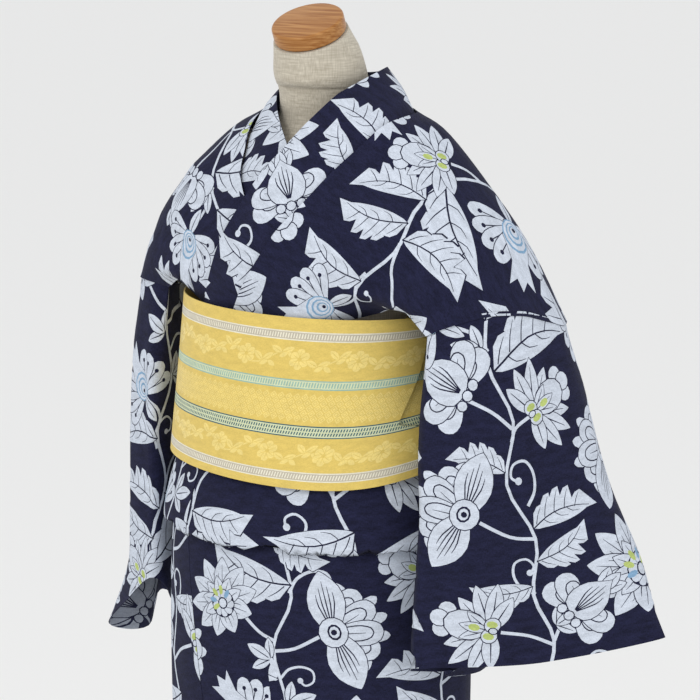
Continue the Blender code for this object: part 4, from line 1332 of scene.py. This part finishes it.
def lattice(x0, x1, middle):
    shapes = []
    pitch = 0.0078
    for row in range(-2, 3):
        for k in range(int((x1 - x0) / pitch)):
            x, y = x0 + (k + 0.5 + 0.5 * (row % 2)) * pitch, middle + row * 0.0050
            for size, ink in ((0.0036, "satin"), (0.0024, "gold"), (0.0013, "satin")):
                shapes.append((ink, np.array([(x - size, y), (x, y - size), (x + size, y), (x, y + size)])))
    return shapes


# Middles of the bands, as shares of the height from the top: grey, figures, aqua, lattice, teal, figures and
# grey.
SHARES = (0.105, 0.240, 0.385, 0.520, 0.660, 0.795, 0.925)


def sash_figures(low, high):
    x0, x1, top = low[0] - 0.002, high[0] + 0.002, high[1]
    scale = (high[1] - low[1]) / SASH_WIDE
    at = {share: top - share * SASH_WIDE * scale for share in SHARES}
    shapes = scroll(x0, x1, at[SHARES[1]]) + lattice(x0, x1, at[SHARES[3]]) + scroll(x0, x1, at[SHARES[5]])
    for share in (SHARES[0], SHARES[6]):
        shapes += ladder(x0, x1, at[share], "pale", "pale", "grey")
    shapes += ladder(x0, x1, at[SHARES[2]], "aqua", "aqua", "mint")
    shapes += ladder(x0, x1, at[SHARES[4]], "teal", "teal", "mint", rows=2, tall=0.0028)
    return shapes


def sash_piece(name, worn, node, creases=(), flip=False, straight="first"):
    """A stretch of the sash over its node."""
    piece, size, area = cloth(name, worn, sash_figures, SASH_NAMES, SASH, creases, SASH_WALL, flip=flip,
                              straight=straight)
    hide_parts(node)


def sash_edges(angle):
    side = math.sin(math.radians(angle))
    return 1.131 - 0.004 * side, 0.971 - 0.008 * side + 0.022 * max(0.0, side) ** 4


def sash_point(angle, share, out):
    top, bottom = sash_edges(angle)
    return around(FINE_OBI, angle, top + (bottom - top) * share, out)


ENDS = spline(np.array(OBI_FRONT_END), 4)


def front_end(share):
    """The angle where the front turn's folded lip ends. Under the teal stripe it runs on round the side."""
    return float(np.interp(share, ENDS[:, 0], ENDS[:, 1])) + 26 * float(np.clip((share - 0.66) / 0.08, 0, 1))


def front_turn():
    rows = []
    for share in np.linspace(0, 1, 30):
        rows.append([sash_point(a, share, 0.0) for a in np.linspace(-172, front_end(share), 90)])
    return np.array(rows)


def side_turn():
    rows = []
    for share in np.linspace(0, 1, 30):
        end = float(np.interp(share, ENDS[:, 0], ENDS[:, 1]))
        row = []
        for a in np.linspace(end - 16, 200, 80):
            sunk = 0.0030 + 0.004 * max(0.0, 1 - share / 0.6) * math.exp(-(((a - 84) / 22) ** 2))
            row.append(sash_point(a, share, -sunk))
        rows.append(row)
    return np.array(rows)


sash_piece(
    "obi_front_cloth", front_turn(), "obi_front_turn",
    creases=((0.28, 0.02, 0.24, 0.4, 0.012, -0.0008), (0.62, 0.7, 0.70, 0.98, 0.014, 0.0008)),
)
sash_piece(
    "obi_side_cloth", side_turn(), "obi_side_turn", straight="last",
    creases=((0.16, 0.02, 0.10, 0.6, 0.008, -0.0010),),
)

BOW_HEIGHT = 1.062
BOW_MIDDLE = 0.144


def wing(side):
    rows = []
    for x, y, half, droop in BOW_WING:
        row = []
        for share in np.linspace(1, -1, 7):
            out = 0.006 * (1 - share * share)
            bulge = out if y > BOW_MIDDLE else -out * 0.4
            row.append((side * x, y + bulge, BOW_HEIGHT - droop + share * half))
        rows.append(row)
    loop = net(rows, 4, 6)
    return np.swapaxes(loop, 0, 1)


BOW_FOLDS = (
    (0.02, 0.45, 0.38, 0.40, 0.006, -0.0022),
    (0.62, 0.55, 0.98, 0.50, 0.006, -0.0022),
    (0.04, 0.62, 0.30, 0.72, 0.005, 0.0016),
)
sash_piece(
    "bow_left_cloth", wing(1), "bow_left_wing", BOW_FOLDS, straight="gathered",
)
sash_piece(
    "bow_right_cloth", wing(-1), "bow_right_wing", BOW_FOLDS, flip=True, straight="gathered",
)


def knot():
    rows = []
    for height in np.linspace(0.036, -0.036, 14):
        swell = math.sqrt(max(0.0, 1 - (height / 0.044) ** 2))
        ring = np.linspace(0, 2 * math.pi, 49)
        across, back = 0.0195 * swell * np.cos(ring), 0.1435 + 0.030 * swell * np.sin(ring)
        rows.append([(x, y, BOW_HEIGHT + height) for x, y in zip(across, back)])
    return np.array(rows)


sash_piece(
    "bow_knot_cloth", knot(), "bow_knot", straight="gathered",
    creases=((0.20, 0.1, 0.24, 0.9, 0.004, -0.0012), (0.30, 0.0, 0.28, 0.9, 0.004, 0.0010)),
)

# %% [markdown]
# ## The dress form
#
# The form is a padded torso covered in linen, with a turned wooden cap on a neck that leans forward. It ends
# under the hips on a pole with a round steel base.

# %% Form materials
linen, linen_shader = surface("linen", (0.50, 0.45, 0.36), 0.92, sheen=0.15)


def linen_weave(made, shader):
    tree = made.node_tree
    place = tree.nodes.new("ShaderNodeTexCoord")
    heights = []
    for scale in ((900, 900, 60), (60, 60, 900)):
        stretch = node(tree, "ShaderNodeMapping", Scale=scale)
        tree.links.new(place.outputs["Object"], stretch.inputs["Vector"])
        yarn = node(tree, "ShaderNodeTexNoise", Scale=1.0, Detail=2.0)
        tree.links.new(stretch.outputs["Vector"], yarn.inputs["Vector"])
        heights.append(yarn.outputs["Fac"])
    both = tree.nodes.new("ShaderNodeMath")
    both.operation = "MULTIPLY"
    for k in range(2):
        tree.links.new(heights[k], both.inputs[k])
    shade = tree.nodes.new("ShaderNodeValToRGB")
    shade.color_ramp.elements[0].position = 0.12
    shade.color_ramp.elements[0].color = (0.40, 0.355, 0.28, 1)
    shade.color_ramp.elements[1].position = 0.40
    shade.color_ramp.elements[1].color = (0.60, 0.55, 0.455, 1)
    tree.links.new(both.outputs["Value"], shade.inputs["Fac"])
    tree.links.new(shade.outputs["Color"], shader.inputs["Base Color"])
    bump = node(tree, "ShaderNodeBump", Strength=0.4, Distance=0.0004)
    tree.links.new(both.outputs["Value"], bump.inputs["Height"])
    tree.links.new(bump.outputs["Normal"], shader.inputs["Normal"])


linen_weave(linen, linen_shader)
oak, oak_shader = surface("lacquered wood", (0.48, 0.22, 0.06), 0.32)


def wood_grain(made, shader):
    """Growth lines run straight through the turned cap, close together and slightly waved."""
    tree = made.node_tree
    place = tree.nodes.new("ShaderNodeTexCoord")
    stretch = node(tree, "ShaderNodeMapping", Scale=(16, 120, 620), Rotation=(0.42, 0.10, 0.5))
    tree.links.new(place.outputs["Object"], stretch.inputs["Vector"])
    line = node(tree, "ShaderNodeTexNoise", Scale=1.0, Detail=3.0, Distortion=0.3)
    tree.links.new(stretch.outputs["Vector"], line.inputs["Vector"])
    shade = tree.nodes.new("ShaderNodeValToRGB")
    shade.color_ramp.elements[0].position = 0.34
    shade.color_ramp.elements[0].color = (0.27, 0.10, 0.022, 1)
    shade.color_ramp.elements[1].position = 0.66
    shade.color_ramp.elements[1].color = (0.47, 0.23, 0.078, 1)
    tree.links.new(line.outputs["Fac"], shade.inputs["Fac"])
    tree.links.new(shade.outputs["Color"], shader.inputs["Base Color"])


wood_grain(oak, oak_shader)
steel, _ = surface("white lacquered steel", (0.72, 0.72, 0.71), 0.30)
print("form materials ready")

# %% [markdown]
# ## Torso, neck and cap
#
# The torso and neck are lofted through the same stations as their solids, finely enough to look padded. The
# cap is a turned disc with a rounded arris.

# %% Torso and neck
def lofted(name, rings, made):
    count = len(rings[0])
    points = [tuple(p) for ring in rings for p in ring]
    faces = []
    for i in range(len(rings) - 1):
        for j in range(count):
            k = (j + 1) % count
            faces.append((i * count + j, i * count + k, (i + 1) * count + k, (i + 1) * count + j))
    last = (len(rings) - 1) * count
    faces.append(tuple(range(count))[::-1])
    faces.append(tuple(last + j for j in range(count)))
    mesh = bpy.data.meshes.new(name)
    mesh.from_pydata(points, [], faces)
    mesh.materials.append(made)
    mesh.shade_smooth()
    mesh.set_sharp_from_angle(angle=math.radians(50))
    piece = bpy.data.objects.new(name, mesh)
    bpy.context.scene.collection.objects.link(piece)
    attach(piece, "root")
    return piece


rings = [[around(FINE_FORM, a, row[0]) for a in range(0, 360, 5)] for row in FINE_FORM[::-1]]
centre = np.mean(rings[0], axis=0)
under = []
for share in (0.0, 0.35, 0.7, 0.92):
    size, drop = 0.86 + 0.14 * math.sin(share * math.pi / 2), np.array([0, 0, 0.014 * (1 - share)])
    under.append([centre + (p - centre) * size - drop for p in rings[0]])
torso = lofted("torso_linen", under + rings, linen)
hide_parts("form_torso")

NECK_LEAN = math.radians(25)
NECK_FOOT = np.array([0.0, 0.0150, 1.3363])
NECK_AXIS = np.array([0.0, -math.sin(NECK_LEAN), math.cos(NECK_LEAN)])
NECK_PROFILE = ((0.0, 0.0445), (0.014, 0.0440), (0.028, 0.0425), (0.040, 0.0395), (0.053, 0.0365))


def leaning(far, radius, steps=72):
    lean = NECK_LEAN * min(1.0, far / 0.030)
    forward = np.array([0.0, math.cos(lean), math.sin(lean)])
    middle = NECK_FOOT + NECK_AXIS * far
    turn = np.linspace(0, 2 * math.pi, steps, endpoint=False)
    return [middle + radius * (math.sin(t) * np.array([1.0, 0, 0]) - math.cos(t) * forward) for t in turn]


neck = lofted("neck_linen", [leaning(*row) for row in spline(NECK_PROFILE, 4)], linen)
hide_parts("form_neck")

# %% [markdown]
# The cap starts as a cylinder in its place, tilted with the neck, and its rims are beveled.

# %% Cap
CAP_RADIUS, CAP_THICK, CAP_START = 0.0350, 0.0155, 0.0534
middle = NECK_FOOT + NECK_AXIS * (CAP_START + CAP_THICK / 2)
bpy.ops.mesh.primitive_cylinder_add(
    vertices=96, radius=CAP_RADIUS, depth=CAP_THICK, location=middle, rotation=(NECK_LEAN, 0, 0)
)
cap = bpy.context.object
cap.name = "wooden_cap"
bpy.ops.object.transform_apply(location=True, rotation=True, scale=True)
rim = cap.modifiers.new("rounded arris", "BEVEL")
rim.width = 0.0024
rim.segments = 5
rim.limit_method = "ANGLE"
bpy.ops.object.modifier_apply(modifier="rounded arris")
bpy.ops.object.shade_smooth_by_angle(angle=math.radians(40))
cap.data.materials.append(oak)
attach(cap, "root")
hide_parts("form_cap")

# %% [markdown]
# The pole and the base are turned steel, so their solids already have the right shape and only need paint.

# %% Stand
for name in ("form_pole", "form_base"):
    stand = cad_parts[name]
    stand.data.materials.clear()
    stand.data.materials.append(steel)
print("stand painted")

# %% [markdown]
# ## Light, floor and camera
#
# A pale floor runs on behind, a broad soft light comes from the upper left and front, and the camera looks
# slightly down at the upper half from the wearer's left.

# %% Stage
bpy.ops.mesh.primitive_plane_add(size=120, location=(0, 0, -0.0005))
floor = bpy.context.object
floor.name = "floor"
paper, _ = surface("pale floor", (0.875, 0.87, 0.86), 0.95)
floor.data.materials.append(paper)

world = bpy.data.worlds.new("studio")
bpy.context.scene.world = world
world.use_nodes = True
world.node_tree.nodes["Background"].inputs["Color"].default_value = (0.98, 0.99, 1.0, 1)
world.node_tree.nodes["Background"].inputs["Strength"].default_value = 0.93


def soft_light(name, place, aim, size, power, colour):
    bpy.ops.object.light_add(type="AREA", location=place)
    lamp = bpy.context.object
    lamp.name = name
    lamp.data.size = size
    lamp.data.energy = power
    lamp.data.color = colour
    lamp.rotation_euler = (Vector(aim) - Vector(place)).to_track_quat("-Z", "Y").to_euler()


soft_light("window", (-0.3, -3.1, 3.0), (0, 0, 1.1), 1.4, 34, (1.0, 0.99, 0.97))
soft_light("fill", (2.8, -1.2, 1.8), (0, 0, 1.1), 2.0, 14, (0.97, 0.98, 1.0))

CAMERA_TURN, CAMERA_PITCH, CAMERA_SWING = math.radians(32), math.radians(-10.5), math.radians(0.6366)
CAMERA_FAR, CAMERA_HEIGHT = 3.0, 1.635
turn, pitch, swing = CAMERA_TURN, CAMERA_PITCH, CAMERA_SWING
eye = Vector((CAMERA_FAR * math.sin(turn), -CAMERA_FAR * math.cos(turn), CAMERA_HEIGHT))
ahead = Vector((-math.sin(turn), math.cos(turn), 0))
aside = Vector((math.cos(turn), math.sin(turn), 0))
look = (ahead * math.cos(swing) + aside * math.sin(swing)) * math.cos(pitch) + Vector((0, 0, math.sin(pitch)))
bpy.ops.object.camera_add(location=eye, rotation=look.to_track_quat("-Z", "Y").to_euler())
camera = bpy.context.object
camera.data.sensor_width = 36
camera.data.lens = 162
bpy.context.scene.camera = camera
bpy.context.scene.view_settings.view_transform = "Standard"

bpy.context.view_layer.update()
